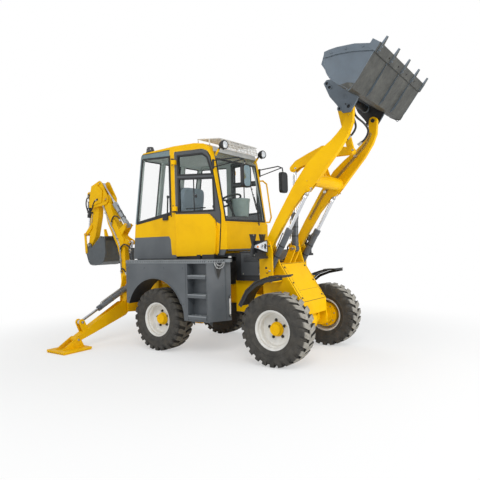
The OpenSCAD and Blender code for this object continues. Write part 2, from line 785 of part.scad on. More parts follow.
module loader_bucket() {
    outer = concat([[2558, 3380]], bucket_back, [floor_lip]);
    inner = [[3130, 3341], [2833, 2964], [2776, 2984], [2692, 3036], [2616, 3110], [2572, 3206],
        [2536, 3270], [2574, 3380]];
    cheek = concat([[2558, 3380]], bucket_back, [floor_lip, [3117, 3325], [2890, 3380],
        [2700, 3394], [2615, 3390]]);
    strip = [[2558, 3380], [2615, 3390], [2700, 3394], [2890, 3380], [3117, 3325], [3096, 3262],
        [2880, 3306], [2700, 3322], [2550, 3318]];
    wear_l = 96;
    color(slate) from_axle() {
        side(concat(outer, inner), 0, 2 * bucket_half_w);
        both() {
            side(cheek, bucket_half_w - bucket_t / 2, bucket_t);
            // stiffener along the cheek's top and cutter at its front
            side(strip, bucket_half_w - 2, 24);
            on_floor() translate([floor_l - 92, bucket_half_w - 12, -12]) cube([92, 24, 92]);
        }
        on_floor() {
            // wear strip under the lip
            translate([floor_l - wear_l, -bucket_half_w, -14]) cube([wear_l + 4, 2 * bucket_half_w, 15]);
            // ribs under the floor
            for (i = [1:bucket_ribs])
                translate([6, (2 * i / (bucket_ribs + 1) - 1) * bucket_half_w - 6, 0])
                    rotate([90, 0, 0]) mirror([0, 1, 0]) linear_extrude(12)
                    polygon([[0, -1], [0, 6], [70, 26], [floor_l - wear_l - 30, 10], [floor_l - wear_l, -1]]);
            // tapered teeth
            for (i = [0:bucket_teeth - 1])
                translate([floor_l - 90, (i / (bucket_teeth - 1) - 0.5) * 2 * (bucket_half_w - 50), -26])
                    linear_extrude(20) polygon([[0, -24], [0, 24], [100, 20], [172, 7],
                        [172, -7], [100, -20]]);
        }
    }
}

lift_barrel_l = 580;
module lift_barrels() {
    color(slate) from_axle() both()
        barrel(lift_base, lift_eye, lift_barrel_l, lift_barrel_r, arm_y, 60, 20);
}
module lift_rods() {
    color("silver") from_axle() both()
        ram(lift_base, lift_eye, lift_barrel_l, lift_rod_r, lift_barrel_r - 8, arm_y, 26, 18, 110);
}
tilt_barrel_l = 460;
module tilt_barrel() {
    color(slate) from_axle() barrel(tilt_base, hook_pin, tilt_barrel_l, tilt_barrel_r, 0, 70, 22);
}
module tilt_rod() {
    color("silver") from_axle()
        ram(tilt_base, hook_pin, tilt_barrel_l, lift_rod_r, tilt_barrel_r - 8, 0, 40, 18, 60);
}

// Hoe

module swing_post() {
    cheek = [[-1395, 545], [-1395, 798], [-1425, 800], [-1425, 866], [-1362, 874],
        [-1338, 905], [-1340, 945], [-1372, 964], [-1410, 952], [-1500, 840], [-1565, 745],
        [-1570, 665], [-1530, 622], [-1460, 560]];
    color(yellow) from_axle() difference() {
        union() {
            translate([-swing_back, 0, 528]) cylinder(r = 75, h = 274);
            // cheeks that hold the foot of the boom and its cylinder
            both() side(cheek, 97, 25);
            translate([-1425, -100, 545]) cube([105, 200, 253]);
            pin(boom_foot, 28, -100, 100);
            pin(boom_cyl_base, 22, -100, 100);
        }
        translate([-swing_back, 0, 500]) cylinder(r = 35 + pin_gap, h = 500);
    }
}

module hoe_boom() {
    rod_trough_r = hoe_rod_r + 10;
    outward = let (d = along([0, 0], dipper_cyl_eye - dipper_cyl_base, 1)) [d[1], -d[0]];
    color(yellow) from_axle() {
        difference() {
            union() {
                chain([[boom_foot, 58], [[-1525, 1250], 66], [[-1560, 1470], 95],
                    [[-1800, 1860], 88], [dipper_pin, 88]], 0, 2 * boom_half_t);
                // lugs of the boom and dipper cylinders
                for (y = [-58, 58]) {
                    chain([[dipper_cyl_base, 36], [[-1600, 1640], 60]], y, 16);
                    chain([[boom_cyl_eye, 36], [[-1520, 1530], 60]], y, 16);
                }
            }
            pin(boom_foot, 28 + pin_gap, -90, 90);
            pin(dipper_pin, 26 + pin_gap, -90, 90);
            pin(dipper_cyl_base, 60, -47, 47);
            // troughs for the dipper cylinder and its rod, open above so that both can swing out
            rod(dipper_cyl_base, along(dipper_cyl_base, dipper_cyl_eye, 540), 50, 0);
            side([dipper_cyl_base - rod_trough_r * outward, dipper_cyl_eye - rod_trough_r * outward,
                dipper_cyl_eye + 80 * outward, dipper_cyl_base + 80 * outward], 0, 2 * rod_trough_r);
        }
        pin(dipper_cyl_base, 18, -60, 60);
    }
}

module hoe_dipper() {
    head = [[-2340, 2240], [-2300, 2400], [-2272, 2500], [-2050, 2575], [-2010, 2555],
        [-1835, 2270], [-1835, 2200], [-1900, 2150], [-2200, 2120], [-2340, 2130]];
    core = [[-2340, 2240], [-2300, 2400], [-2272, 2500], [-2190, 2520], [-2170, 2440],
        [-2120, 2280], [-2140, 2120], [-2340, 2130]];
    color(yellow) from_axle() difference() {
        union() {
            chain([[[-2225, 2260], 105], [[-2255, 1980], 100], [[-2330, 1640], 80],
                [hoe_bucket_pin, 40]], 0, 2 * dipper_half_t);
            both() side(head, boom_half_t + 15, 18);
            side(core, 0, 2 * boom_half_t + 12);
            pin(dipper_pin, 26, -boom_half_t - 15, boom_half_t + 15);
            // bracket of the bucket cylinder
            both() chain([[bucket_cyl_base, 30], [[-2300, 2360], 50]], 48, 14);
            pin(bucket_cyl_base, 18, -55, 55);
            pin(idler_pin, 18, -70, 70);
        }
        pin(hoe_bucket_pin, 20 + pin_gap, -80, 80);
    }
}

module hoe_bucket() {
    outer = [[-1915, 1613], [-1800, 1600], [-1790, 1320], [-1850, 1180], [-1982, 1121],
        [-2211, 1131], [-2304, 1310]];
    inner = [[-2292, 1316], [-2203, 1144], [-1986, 1134], [-1858, 1190], [-1803, 1323],
        [-1812, 1612]];
    color(slate) from_axle() difference() {
        union() {
            side(concat([for (i = [1:6]) outer[i]], inner), 0, 2 * hoe_bucket_half_w);
            both() {
                side(outer, hoe_bucket_half_w - hoe_bucket_t / 2, hoe_bucket_t);
                // ears
                side([[-2211, 1131], [-2304, 1310], [-2355, 1485], [-2402, 1512], [-2446, 1492],
                    [-2512, 1362], [-2503, 1318], [-2468, 1305], [-2330, 1210]], 68, 16);
            }
            pin(hoe_bucket_pin, 20, -70, 70);
            for (i = [0:hoe_teeth - 1])
                side([[-1802, 1560], [-1832, 1596], [-1842, 1712], [-1832, 1716], [-1790, 1600]],
                    (i / (hoe_teeth - 1) - 0.5) * 2 * (hoe_bucket_half_w - 40), 40);
        }
        both() pin(hoe_bucket_ear, 20, 50, 90);
    }
}

module hoe_idler() {
    color(yellow) from_axle() difference() {
        union() {
            both() {
                bar(idler_pin, idler_end, 34, 34, 61, 12);
                pin(idler_end, 18, 27, 91);
            }
            pin(idler_pin + 0.42 * (idler_end - idler_pin), 11, -60, 60);
        }
        pin(idler_pin, 18 + pin_gap, -80, 80);
    }
}

module hoe_link() {
    color(yellow) from_axle() both() difference() {
        bar(idler_end, hoe_bucket_ear, 27, 27, 84, 12);
        pin(idler_end, 18 + pin_gap, 70, 100);
        pin(hoe_bucket_ear, 13, 70, 100);
    }
}

boom_barrel_l = 480;
dipper_barrel_l = 500;
bucket_barrel_l = 425;
module boom_barrel() {
    color(slate) from_axle() barrel(boom_cyl_base, boom_cyl_eye, boom_barrel_l, hoe_barrel_r, 0, 70, 22);
}
module boom_rod() {
    color("silver") from_axle()
        ram(boom_cyl_base, boom_cyl_eye, boom_barrel_l, hoe_rod_r, hoe_barrel_r - 8, 0, 44, 16, 52);
}
module dipper_barrel() {
    color(slate) from_axle()
        barrel(dipper_cyl_base, dipper_cyl_eye, dipper_barrel_l, hoe_barrel_r, 0, 60, 18);
}
module dipper_rod() {
    color("silver") from_axle()
        ram(dipper_cyl_base, dipper_cyl_eye, dipper_barrel_l, hoe_rod_r, hoe_barrel_r - 8, 0, 44, 16, 60);
}
module bucket_barrel() {
    color(dark) from_axle()
        barrel(bucket_cyl_base, idler_end, bucket_barrel_l, hoe_barrel_r - 8, 0, 60, 18);
}
module bucket_rod() {
    color("silver") from_axle()
        ram(bucket_cyl_base, idler_end, bucket_barrel_l, hoe_rod_r - 2, hoe_barrel_r - 16, 0, 40, 14, 30);
}

// Stabilisers, drawn for the right side

// A chain of rounded bars across the machine, each entry being [[y, z], radius]
module chain_across(pts, x, t) {
    for (i = [0:len(pts) - 2])
        translate([x - t / 2, 0, 0]) rotate([90, 0, 90]) linear_extrude(t)
            bar_outline(pts[i][0], pts[i + 1][0], pts[i][1], pts[i + 1][1]);
}
module pin_along(p, r, x0, x1) {
    translate([x0, p[0], p[1]]) rotate([0, 90, 0]) cylinder(r = r, h = x1 - x0);
}
module rod_across(p, q, r, x) {
    d = q - p;
    translate([x, p[0], p[1]]) rotate([atan2(d[1], d[0]) - 90, 0, 0]) cylinder(r = r, h = norm(d));
}

module leg() {
    x = -leg_back;
    // the hub's top keeps inside the path of the cylinder's base pin as the leg rises
    hub_top = [for (a = [112:14:182]) leg_hip + 168 * [cos(a), sin(a)]];
    beam = concat([[-262, 645]], hub_top, [[-516, 580], [-1040, 325], [-1312, 183],
        [-1330, 103], [-1040, 188], [-440, 374], [-262, 535]]);
    difference() {
        union() {
            pin_along(leg_hip, 62, x - leg_t / 2, x + leg_t / 2);
            translate([x - leg_t / 2, 0, 0]) rotate([90, 0, 90]) linear_extrude(leg_t) polygon(beam);
            pin_along(pad_pin, 42, x - leg_t / 2, x + leg_t / 2);
            for (s = [-1, 1])
                chain_across([[leg_cyl_eye, 44], [[-1160, 220], 50]], x + s * 42, 16);
        }
        pin_along(leg_hip, 28 + pin_gap, x - 100, x + 100);
        pin_along(pad_pin, 18 + pin_gap, x - 100, x + 100);
        // slot for the cylinder along the top of the leg
        translate([x - 46, 0, 0]) rotate([90, 0, 90]) linear_extrude(92)
            polygon([[-413, 900], [-413, 620], [-428, 560], [-458, 528], [-520, 510],
                [-900, 390], [-900, 900]]);
    }
}
module leg_right() { color(yellow) from_axle() leg(); }
module leg_left() { color(yellow) from_axle() mirror([0, 1, 0]) leg(); }

module pad() {
    x = -leg_back;
    cy = -1408;
    union() {
        translate([x - pad_w / 2, cy - pad_l / 2, 18]) cube([pad_w, pad_l, pad_t]);
        for (i = [0:8])
            translate([x - pad_w / 2 + 10 + i * (pad_w - 40) / 8, cy - pad_l / 2, 0]) cube([20, pad_l, 19]);
        for (s = [-1, 1])
            translate([x + s * (leg_t / 2 + 15) - 9, 0, 0]) rotate([90, 0, 90]) linear_extrude(18)
                polygon([[cy - 190, 30], [-1345, 175], [-1318, 185], [-1290, 175], [cy + 190, 30]]);
        pin_along(pad_pin, 18, x - leg_t / 2 - 20, x + leg_t / 2 + 20);
    }
}
module pad_right() { color(yellow) from_axle() pad(); }
module pad_left() { color(yellow) from_axle() mirror([0, 1, 0]) pad(); }

leg_barrel_l = 660;
module leg_barrel() {
    x = -leg_back;
    difference() {
        union() {
            pin_along(leg_cyl_base, 42, x - 40, x + 40);
            rod_across(along(leg_cyl_base, leg_cyl_eye, 30), along(leg_cyl_base, leg_cyl_eye, leg_barrel_l), 40, x);
        }
        pin_along(leg_cyl_base, 22 + pin_gap, x - 60, x + 60);
        rod_across(along(leg_cyl_base, leg_cyl_eye, 120), along(leg_cyl_base, leg_cyl_eye, leg_barrel_l + 1), 33, x);
    }
}
module leg_rod() {
    x = -leg_back;
    difference() {
        union() {
            rod_across(along(leg_cyl_base, leg_cyl_eye, leg_barrel_l - 90), leg_cyl_eye, 20, x);
            rod_across(along(leg_cyl_base, leg_cyl_eye, leg_barrel_l - 90),
                along(leg_cyl_base, leg_cyl_eye, leg_barrel_l - 60), 32, x);
            pin_along(leg_cyl_eye, 32, x - 25, x + 25);
        }
        pin_along(leg_cyl_eye, 16, x - 60, x + 60);
    }
}
module leg_barrel_right() { color(slate) from_axle() leg_barrel(); }
module leg_barrel_left() { color(slate) from_axle() mirror([0, 1, 0]) leg_barrel(); }
module leg_rod_right() { color("silver") from_axle() leg_rod(); }
module leg_rod_left() { color("silver") from_axle() mirror([0, 1, 0]) leg_rod(); }

// Wheels

module at_wheel(x, s) {
    from_axle() translate([x, s * track / 2, wheel_r]) rotate([s * -90, 0, 0]) children();
}

// A tyre about Z, its outer side up: rows run across the section, columns round the wheel.
// Each lug takes four columns, two on its top and two in the groove, and the rows of one side
// lag those of the other, so that the lugs form chevrons.
function tyre_row(k) = let (h = tyre_w / 2, r = tyre_d / 2, bead = rim_d / 2 + 0.4) [
    // [radius on a lug, radius in a groove, height, lag in degrees]
    [bead, bead, 34 - h, 0], [rim_d / 2 + 78, rim_d / 2 + 78, -h, 0],
    [r - lug_h / 2, r - 1.6 * lug_h, 16 - h, lug_lag], [r, r - lug_h, 30 - h, lug_lag],
    [r, r - lug_h, 0, 0], [r, r - lug_h, h - 30, lug_lag],
    [r - lug_h / 2, r - 1.6 * lug_h, h - 16, lug_lag],
    [rim_d / 2 + 78, rim_d / 2 + 78, h, 0], [bead, bead, h - 34, 0]][k];
module tyre() {
    rows = 9;
    columns = 4 * lugs;
    share = [0, 0.46, 0.56, 0.90];
    points = [for (k = [0:rows - 1], i = [0:columns - 1])
        let (row = tyre_row(k), on_lug = i % 4 < 2,
            a = (floor(i / 4) + share[i % 4]) * 360 / lugs + row[3],
            r = on_lug ? row[0] : row[1])
        [r * cos(a), r * sin(a), row[2]]];
    function at(k, i) = (k % rows) * columns + i % columns;
    faces = [for (k = [0:rows - 1], i = [0:columns - 1], half = [0, 1])
        half == 0 ? [at(k, i), at(k + 1, i), at(k + 1, i + 1)]
            : [at(k, i), at(k + 1, i + 1), at(k, i + 1)]];
    color(dark) polyhedron(points, faces);
}

// A rim about Z, its outer side up, with disc, hub and five studs
module rim() {
    h = tyre_w / 2 - 34;
    r = rim_d / 2 - seat_gap;
    color("white") difference() {
        union() {
            rotate_extrude($fn = 64) polygon([[r, -h], [r, h], [r - 12, h], [r - 20, h - 6],
                [r - 22, h - 36], [r - 34, h - 42], [r - 36, 8], [r - 28, -30], [r - 20, -h]]);
            translate([0, 0, disc_out - 14]) cylinder(r = r - 10, h = 14);
            translate([0, 0, disc_out - 1]) cylinder(d = hub_d, h = hub_out - disc_out);
            translate([0, 0, hub_out - 2]) cylinder(d = hub_d - 24, h = 8);
            for (a = [0:72:359])
                rotate(a) translate([105, 0, disc_out - 1]) cylinder(r = 11, h = 18);
        }
        translate([0, 0, disc_out - 15]) cylinder(r = 30, h = 40);
    }
}

module tyre_front_right() { at_wheel(front_x, -1) tyre(); }
module rim_front_right() { at_wheel(front_x, -1) rim(); }
module tyre_front_left() { at_wheel(front_x, 1) tyre(); }
module rim_front_left() { at_wheel(front_x, 1) rim(); }
module tyre_rear_right() { at_wheel(0, -1) tyre(); }
module rim_rear_right() { at_wheel(0, -1) rim(); }
module tyre_rear_left() { at_wheel(0, 1) tyre(); }
module rim_rear_left() { at_wheel(0, 1) rim(); }

rear_chassis();
engine();
rear_axle();
deck_right();
deck_left();
cab_shell();
cab_base();
cab_glass();
roof_guard();
cab_fittings();
seat();
controls();
hoe_frame();
door_right();
door_left();
door_glass_right();
door_glass_left();
front_chassis();
hood();
front_axle();
mudguards();
headlamps();
loader_arms();
rocker();
tilt_link();
coupler();
loader_bucket();
lift_barrels();
lift_rods();
tilt_barrel();
tilt_rod();
swing_post();
hoe_boom();
hoe_dipper();
hoe_bucket();
hoe_idler();
hoe_link();
boom_barrel();
boom_rod();
dipper_barrel();
dipper_rod();
bucket_barrel();
bucket_rod();
leg_right();
pad_right();
leg_barrel_right();
leg_rod_right();
leg_left();
pad_left();
leg_barrel_left();
leg_rod_left();
tyre_front_right();
rim_front_right();
tyre_front_left();
rim_front_left();
tyre_rear_right();
rim_rear_right();
tyre_rear_left();
rim_rear_left();
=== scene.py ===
import json
import math
import bmesh
import bpy
from mathutils import Matrix, Vector

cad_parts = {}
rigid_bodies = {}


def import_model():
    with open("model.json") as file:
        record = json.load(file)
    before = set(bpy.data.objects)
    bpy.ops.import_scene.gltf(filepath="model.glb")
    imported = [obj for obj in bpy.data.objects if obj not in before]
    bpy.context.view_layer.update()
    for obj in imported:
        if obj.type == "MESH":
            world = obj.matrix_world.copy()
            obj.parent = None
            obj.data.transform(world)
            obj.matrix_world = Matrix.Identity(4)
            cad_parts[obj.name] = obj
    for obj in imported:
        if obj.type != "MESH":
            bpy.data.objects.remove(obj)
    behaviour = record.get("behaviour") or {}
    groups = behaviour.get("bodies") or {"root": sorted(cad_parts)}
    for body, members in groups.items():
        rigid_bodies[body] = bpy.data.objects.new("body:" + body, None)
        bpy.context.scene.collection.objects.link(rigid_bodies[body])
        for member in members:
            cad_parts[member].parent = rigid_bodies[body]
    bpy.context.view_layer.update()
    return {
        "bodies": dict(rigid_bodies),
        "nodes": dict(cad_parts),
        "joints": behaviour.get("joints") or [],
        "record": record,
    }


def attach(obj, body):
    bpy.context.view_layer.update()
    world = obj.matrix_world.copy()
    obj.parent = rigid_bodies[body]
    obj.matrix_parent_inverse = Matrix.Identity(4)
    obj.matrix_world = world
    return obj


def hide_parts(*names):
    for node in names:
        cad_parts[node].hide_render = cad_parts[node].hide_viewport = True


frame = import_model()
NODES = frame["nodes"]
BODY = {node: body for body, members in frame["record"]["behaviour"]["bodies"].items() for node in members}
SLOT = {part["node"]: part["material_slot"] for part in frame["record"]["subparts"]}

# Places are written in millimetres from the rear axle, as the part's source writes them.
ORIGIN_BACK = 332
AXLE_X = {"rear": 0, "front": 1820}
WHEEL_Y, WHEEL_R = 680, 420
NEAR, FAR = -1, 1

# Pivots of the loader's, the hoe's and the legs' linkages, [x, z] for the first two and [y, z] for the legs.
ARM_ROOT, ARM_TIP, ROCKER_PIN = (1545, 1375), (2645, 2875), (2150, 2510)
LIFT_BASE, LIFT_EYE, LIFT_Y = (1550, 1070), (2115, 2027), 375
TILT_BASE, TILT_EYE, LINK_LOW = (1700, 1330), (1726, 2349), (2496, 2473)
BOOM_FOOT, BOOM_BASE, BOOM_EYE = (-1508, 700), (-1372, 920), (-1385, 1490)
DIPPER_PIN, DIPPER_BASE, DIPPER_EYE = (-1915, 2241), (-1455, 1775), (-2067, 2524)
HOE_BUCKET_BASE, IDLER_END, HOE_BUCKET_PIN = (-2409, 2381), (-2490, 1660), (-2402, 1470)
LEG_PIN, LEG_BASE, LEG_EYE, PAD_PIN = (-262, 590), (-321, 801), (-1231, 371), (-1318, 143)
ARM_FACE = 405
DECK_Y, TANK_X = 845, 925
ARCH_Z, ARCH_R = 450, 530


def A(x, y, z):
    """A place in millimetres from the rear axle, as a point of the frame in metres."""
    return Vector((x - ORIGIN_BACK, y, z)) / 1000


def frame_mm(v):
    """The reverse of A: [x, y, z] in millimetres from the rear axle."""
    return v[0] * 1000 + ORIGIN_BACK, v[1] * 1000, v[2] * 1000


# Camera and light

def look():
    pos = A(4648.1, -5333.2, 1390.3)
    yaw, pitch, roll = 2.1913, 0.0114, -0.0278
    focal_px, frame_px, sensor = 472.04, 480, 36
    ahead = Vector((math.cos(pitch) * math.cos(yaw), math.cos(pitch) * math.sin(yaw), math.sin(pitch)))
    flat_right = ahead.cross(Vector((0, 0, 1))).normalized()
    flat_up = flat_right.cross(ahead)
    right = flat_right * math.cos(roll) + flat_up * math.sin(roll)
    up = flat_up * math.cos(roll) - flat_right * math.sin(roll)
    cam = bpy.data.cameras.new("camera")
    cam.sensor_width = sensor
    cam.lens = focal_px * sensor / frame_px
    cam.clip_end = 200
    obj = bpy.data.objects.new("camera", cam)
    turn = Matrix((right, up, -ahead)).transposed().to_4x4()
    turn.translation = pos
    obj.matrix_world = turn
    bpy.context.collection.objects.link(obj)
    bpy.context.scene.camera = obj


def area(name, pos, target, size, power):
    lamp = bpy.data.lights.new(name, "AREA")
    lamp.shape = "DISK"
    lamp.size = size
    lamp.energy = power
    obj = bpy.data.objects.new(name, lamp)
    obj.location = pos
    obj.rotation_euler = (Vector(target) - Vector(pos)).to_track_quat("-Z", "Y").to_euler()
    bpy.context.collection.objects.link(obj)


def add_node(tree, kind, **kw):
    n = tree.nodes.new("ShaderNode" + kind)
    for k, v in kw.items():
        setattr(n, k, v)
    return n


def empty_tree(owner):
    """The cleared node tree of a world or a material, and a function that adds a node to it."""
    owner.use_nodes = True
    tree = owner.node_tree
    tree.nodes.clear()
    return tree, lambda kind, **kw: add_node(tree, kind, **kw)


def light():
    area("key", (5.5, -6.5, 8.0), (0, 0, 1.2), 5.0, 400)
    area("front", (9.0, 0.0, 3.2), (0.5, 0, 1.2), 5.0, 310)
    area("side", (-4.5, -8.5, 4.0), (-0.5, 0, 1.2), 6.0, 140)
    area("back", (-7.0, 6.5, 6.0), (0, 0, 1.2), 6.0, 190)
    world = bpy.data.worlds.new("world")
    bpy.context.scene.world = world
    tree, node = empty_tree(world)
    out, mix, path = node("OutputWorld"), node("MixShader"), node("LightPath")
    ambient, seen = node("Background"), node("Background")
    ambient.inputs[0].default_value = (0.93, 0.96, 1, 1)
    ambient.inputs[1].default_value = 0.52
    seen.inputs[0].default_value = (1, 1, 1, 1)
    direct = node("Math", operation="MAXIMUM")
    either = node("Math", operation="MAXIMUM")
    glossy = node("Math", operation="MULTIPLY")
    glossy.inputs[1].default_value = 0.5
    for a, b in ((path.outputs["Is Glossy Ray"], glossy.inputs[0]), (path.outputs["Is Camera Ray"], direct.inputs[0]),
                 (path.outputs["Is Transmission Ray"], direct.inputs[1]), (direct.outputs[0], either.inputs[0]),
                 (glossy.outputs[0], either.inputs[1]), (either.outputs[0], mix.inputs[0]),
                 (ambient.outputs[0], mix.inputs[1]), (seen.outputs[0], mix.inputs[2]),
                 (mix.outputs[0], out.inputs[0])):
        tree.links.new(a, b)


def floor():
    half = 60
    mesh = bpy.data.meshes.new("floor")
    mesh.from_pydata([(-half, -half, -0.001), (half, -half, -0.001), (half, half, -0.001), (-half, half, -0.001)],
                     [], [(0, 1, 2, 3)])
    obj = bpy.data.objects.new("floor", mesh)
    bpy.context.collection.objects.link(obj)
    mat = bpy.data.materials.new("floor")
    tree, node = empty_tree(mat)
    out, mix, plain, bright = node("OutputMaterial"), node("MixShader"), node("BsdfDiffuse"), node("Emission")
    plain.inputs[0].default_value = (0.9, 0.9, 0.89, 1)
    place, reach = node("TexCoord"), node("VectorMath", operation="LENGTH")
    fade, path = node("MapRange"), node("LightPath")
    seen = node("Math", operation="MULTIPLY")
    fade.interpolation_type = "SMOOTHSTEP"
    for key, value in (("From Min", 2.2), ("From Max", 5.2), ("To Min", 0.45), ("To Max", 1.0)):
        fade.inputs[key].default_value = value
    for a, b in ((place.outputs["Object"], reach.inputs[0]), (reach.outputs["Value"], fade.inputs["Value"]),
                 (fade.outputs["Result"], seen.inputs[0]), (path.outputs["Is Camera Ray"], seen.inputs[1]),
                 (seen.outputs[0], mix.inputs[0]), (plain.outputs[0], mix.inputs[1]),
                 (bright.outputs[0], mix.inputs[2]), (mix.outputs[0], out.inputs[0])):
        tree.links.new(a, b)
    mesh.materials.append(mat)


# Materials

def srgb(h):
    out = []
    for i in (0, 2, 4):
        c = int(h[i:i + 2], 16) / 255
        out.append(c / 12.92 if c <= 0.04045 else ((c + 0.055) / 1.055) ** 2.4)
    return tuple(out) + (1.0,)


class Mat:
    """A Principled material with small helpers for its procedural parts."""

    def __init__(self, name, rough, metal=0.0, spec=0.5, coat=0.0):
        self.m = bpy.data.materials.new(name)
        self.m.use_nodes = True
        self.nt = self.m.node_tree
        self.b = self.nt.nodes["Principled BSDF"]
        self.b.inputs["Roughness"].default_value = rough
        self.b.inputs["Metallic"].default_value = metal
        self.b.inputs["Specular IOR Level"].default_value = spec
        self.b.inputs["Coat Weight"].default_value = coat
        self.b.inputs["Coat Roughness"].default_value = 0.08
        self.place = self.nt.nodes.new("ShaderNodeTexCoord").outputs["Object"]

    def node(self, kind, **kw):
        return add_node(self.nt, kind, **kw)

    def link(self, a, b):
        self.nt.links.new(a, b)

    def noise(self, scale, detail=3.0, rough=0.55, stretch=None):
        n = self.node("TexNoise")
        n.inputs["Scale"].default_value = scale
        n.inputs["Detail"].default_value = detail
        n.inputs["Roughness"].default_value = rough
        src = self.place
        if stretch:
            mapping = self.node("Mapping")
            mapping.inputs["Scale"].default_value = stretch
            self.link(src, mapping.inputs["Vector"])
            src = mapping.outputs[0]
        self.link(src, n.inputs["Vector"])
        return n.outputs["Fac"]

    def ramp(self, fac, *stops):
        n = self.node("ValToRGB")
        el = n.color_ramp.elements
        while len(el) < len(stops):
            el.new(0.5)
        for e, (p, c) in zip(el, stops):
            e.position = p
            e.color = srgb(c)
        self.link(fac, n.inputs["Fac"])
        return n.outputs["Color"]

    def span(self, fac, a, b, lo, hi):
        n = self.node("MapRange")
        for key, value in (("From Min", a), ("From Max", b), ("To Min", lo), ("To Max", hi)):
            n.inputs[key].default_value = value
        self.link(fac, n.inputs["Value"])
        return n.outputs["Result"]

    def mix(self, fac, a, b):
        n = self.node("Mix", data_type="RGBA")
        for src, sock in ((a, n.inputs[6]), (b, n.inputs[7]), (fac, n.inputs[0])):
            if isinstance(src, str):
                sock.default_value = srgb(src)
            else:
                self.link(src, sock)
        return n.outputs[2]

    def math(self, op, a, b=None):
        n = self.node("Math", operation=op)
        for i, v in enumerate((a, b)):
            if isinstance(v, (int, float)):
                n.inputs[i].default_value = v
            elif v is not None:
                self.link(v, n.inputs[i])
        return n.outputs[0]

    def xyz(self):
        n = self.node("SeparateXYZ")
        self.link(self.place, n.inputs[0])
        return n.outputs

    def finish(self, colour, rough=None, height=None, strength=0.0, dist=0.001):
        self.link(colour, self.b.inputs["Base Color"])
        if rough is not None:
            self.link(rough, self.b.inputs["Roughness"])
        if height is not None:
            n = self.node("Bump")
            n.inputs["Strength"].default_value = strength
            n.inputs["Distance"].default_value = dist
            self.link(height, n.inputs["Height"])
            self.link(n.outputs[0], self.b.inputs["Normal"])
        return self.m


def paint(name, dark, base, pale, rough=0.34, coat=0.35, dirt="6E5F4A", dirt_z=0.55, dirt_amount=0.35, spec=0.5):
    """Sprayed paint: slow tone changes, orange peel, dark specks, and road dust that thins out with height."""
    m = Mat(name, rough, spec=spec, coat=coat)
    colour = m.ramp(m.noise(2.3, 4.0, 0.6), (0.3, dark), (0.52, base), (0.75, pale))
    low = m.span(m.xyz()[2], 0.0, dirt_z, 1.0, 0.0)
    dust = m.math("MULTIPLY", low, m.span(m.noise(9.0, 6.0, 0.65), 0.4, 0.68, 0.0, 1.0))
    dust = m.math("MULTIPLY", dust, dirt_amount)
    colour = m.mix(dust, colour, dirt)
    specks = m.span(m.noise(120.0, 2.0, 0.5), 0.72, 0.8, 0.0, 0.25)
    colour = m.mix(specks, colour, dark)
    sheen = m.span(m.noise(38.0, 3.0, 0.6), 0.3, 0.7, rough - 0.06, rough + 0.1)
    return m.finish(colour, m.math("ADD", sheen, m.math("MULTIPLY", dust, 0.5)), m.noise(260.0, 2.0, 0.5), 0.06,
                    0.0006)


def plain(name, dark, pale, scale, rough, metal=0.0, coat=0.0, grain=0.0, grain_scale=300.0):
    """A material whose colour and roughness wander between two values, with a fine grain."""
    m = Mat(name, rough, metal, coat=coat)
    drift = m.noise(scale, 5.0, 0.65)
    colour = m.ramp(drift, (0.3, dark), (0.7, pale))
    sheen = m.span(m.noise(scale * 3), 0.3, 0.7, max(0.02, rough - 0.07), rough + 0.09)
    return m.finish(colour, sheen, m.noise(grain_scale, 3.0), grain, 0.001) if grain else m.finish(colour, sheen)


def rubber(name, wheel_x, tops_dark, tops_pale):
    """Tyre rubber, dark on its walls and dusty on the tops of its lugs, told apart by the radius."""
    m = Mat(name, 0.75, spec=0.3)
    x, _, z = m.xyz()
    dx = m.math("SUBTRACT", x, (wheel_x - ORIGIN_BACK) / 1000)
    dz = m.math("SUBTRACT", z, WHEEL_R / 1000)
    radius = m.math("SQRT", m.math("ADD", m.math("MULTIPLY", dx, dx), m.math("MULTIPLY", dz, dz)))
    top = m.span(radius, 0.4125, 0.4185, 0.0, 1.0)
    wall = m.ramp(m.noise(11.0, 6.0, 0.65), (0.3, "363533"), (0.7, "504D48"))
    wall = m.mix(m.span(m.noise(5.0, 6.0, 0.7), 0.5, 0.8, 0.0, 0.45), wall, "5E574B")
    dust = m.ramp(m.noise(30.0, 5.0, 0.7), (0.3, tops_dark), (0.7, tops_pale))
    cover = m.math("MULTIPLY", top, m.span(m.noise(16.0, 4.0, 0.6), 0.25, 0.5, 0.55, 1.0))
    return m.finish(m.mix(cover, wall, dust), m.span(m.noise(20.0), 0.3, 0.7, 0.62, 0.88),
                    m.noise(90.0, 4.0, 0.6), 0.25, 0.0012)


def bucket_wear():
    """Worn steel under a bucket, scratched along the way it digs."""
    m = Mat("bucket_wear", 0.5, 0.2)
    colour = m.ramp(m.noise(7.0, 6.0, 0.7), (0.3, "40403D"), (0.5, "4C4C48"), (0.72, "5E5E58"))
    scratch = m.span(m.noise(60.0, 3.0, 0.6, (0.15, 6, 0.15)), 0.6, 0.72, 0.0, 0.35)
    return m.finish(m.mix(scratch, colour, "8A8A82"), m.span(m.noise(30.0), 0.3, 0.7, 0.4, 0.62),
                    m.noise(180.0, 3.0), 0.15)


def seat_fabric():
    m = Mat("seat_fabric", 0.85, spec=0.2)
    weave = m.node("TexVoronoi")
    weave.inputs["Scale"].default_value = 420.0
    m.link(m.place, weave.inputs["Vector"])
    m.b.inputs["Sheen Weight"].default_value = 0.3
    return m.finish(m.ramp(weave.outputs["Distance"], (0.0, "6E7C84"), (0.6, "95A5AF")), None,
                    weave.outputs["Distance"], 0.4)


def window_glass(name, dark, pale, alpha):
    m = Mat(name, 0.03, spec=0.6)
    m.b.inputs["Alpha"].default_value = alpha
    m.m.surface_render_method = "BLENDED"
    return m.finish(m.ramp(m.noise(1.3), (0.3, dark), (0.7, pale)))


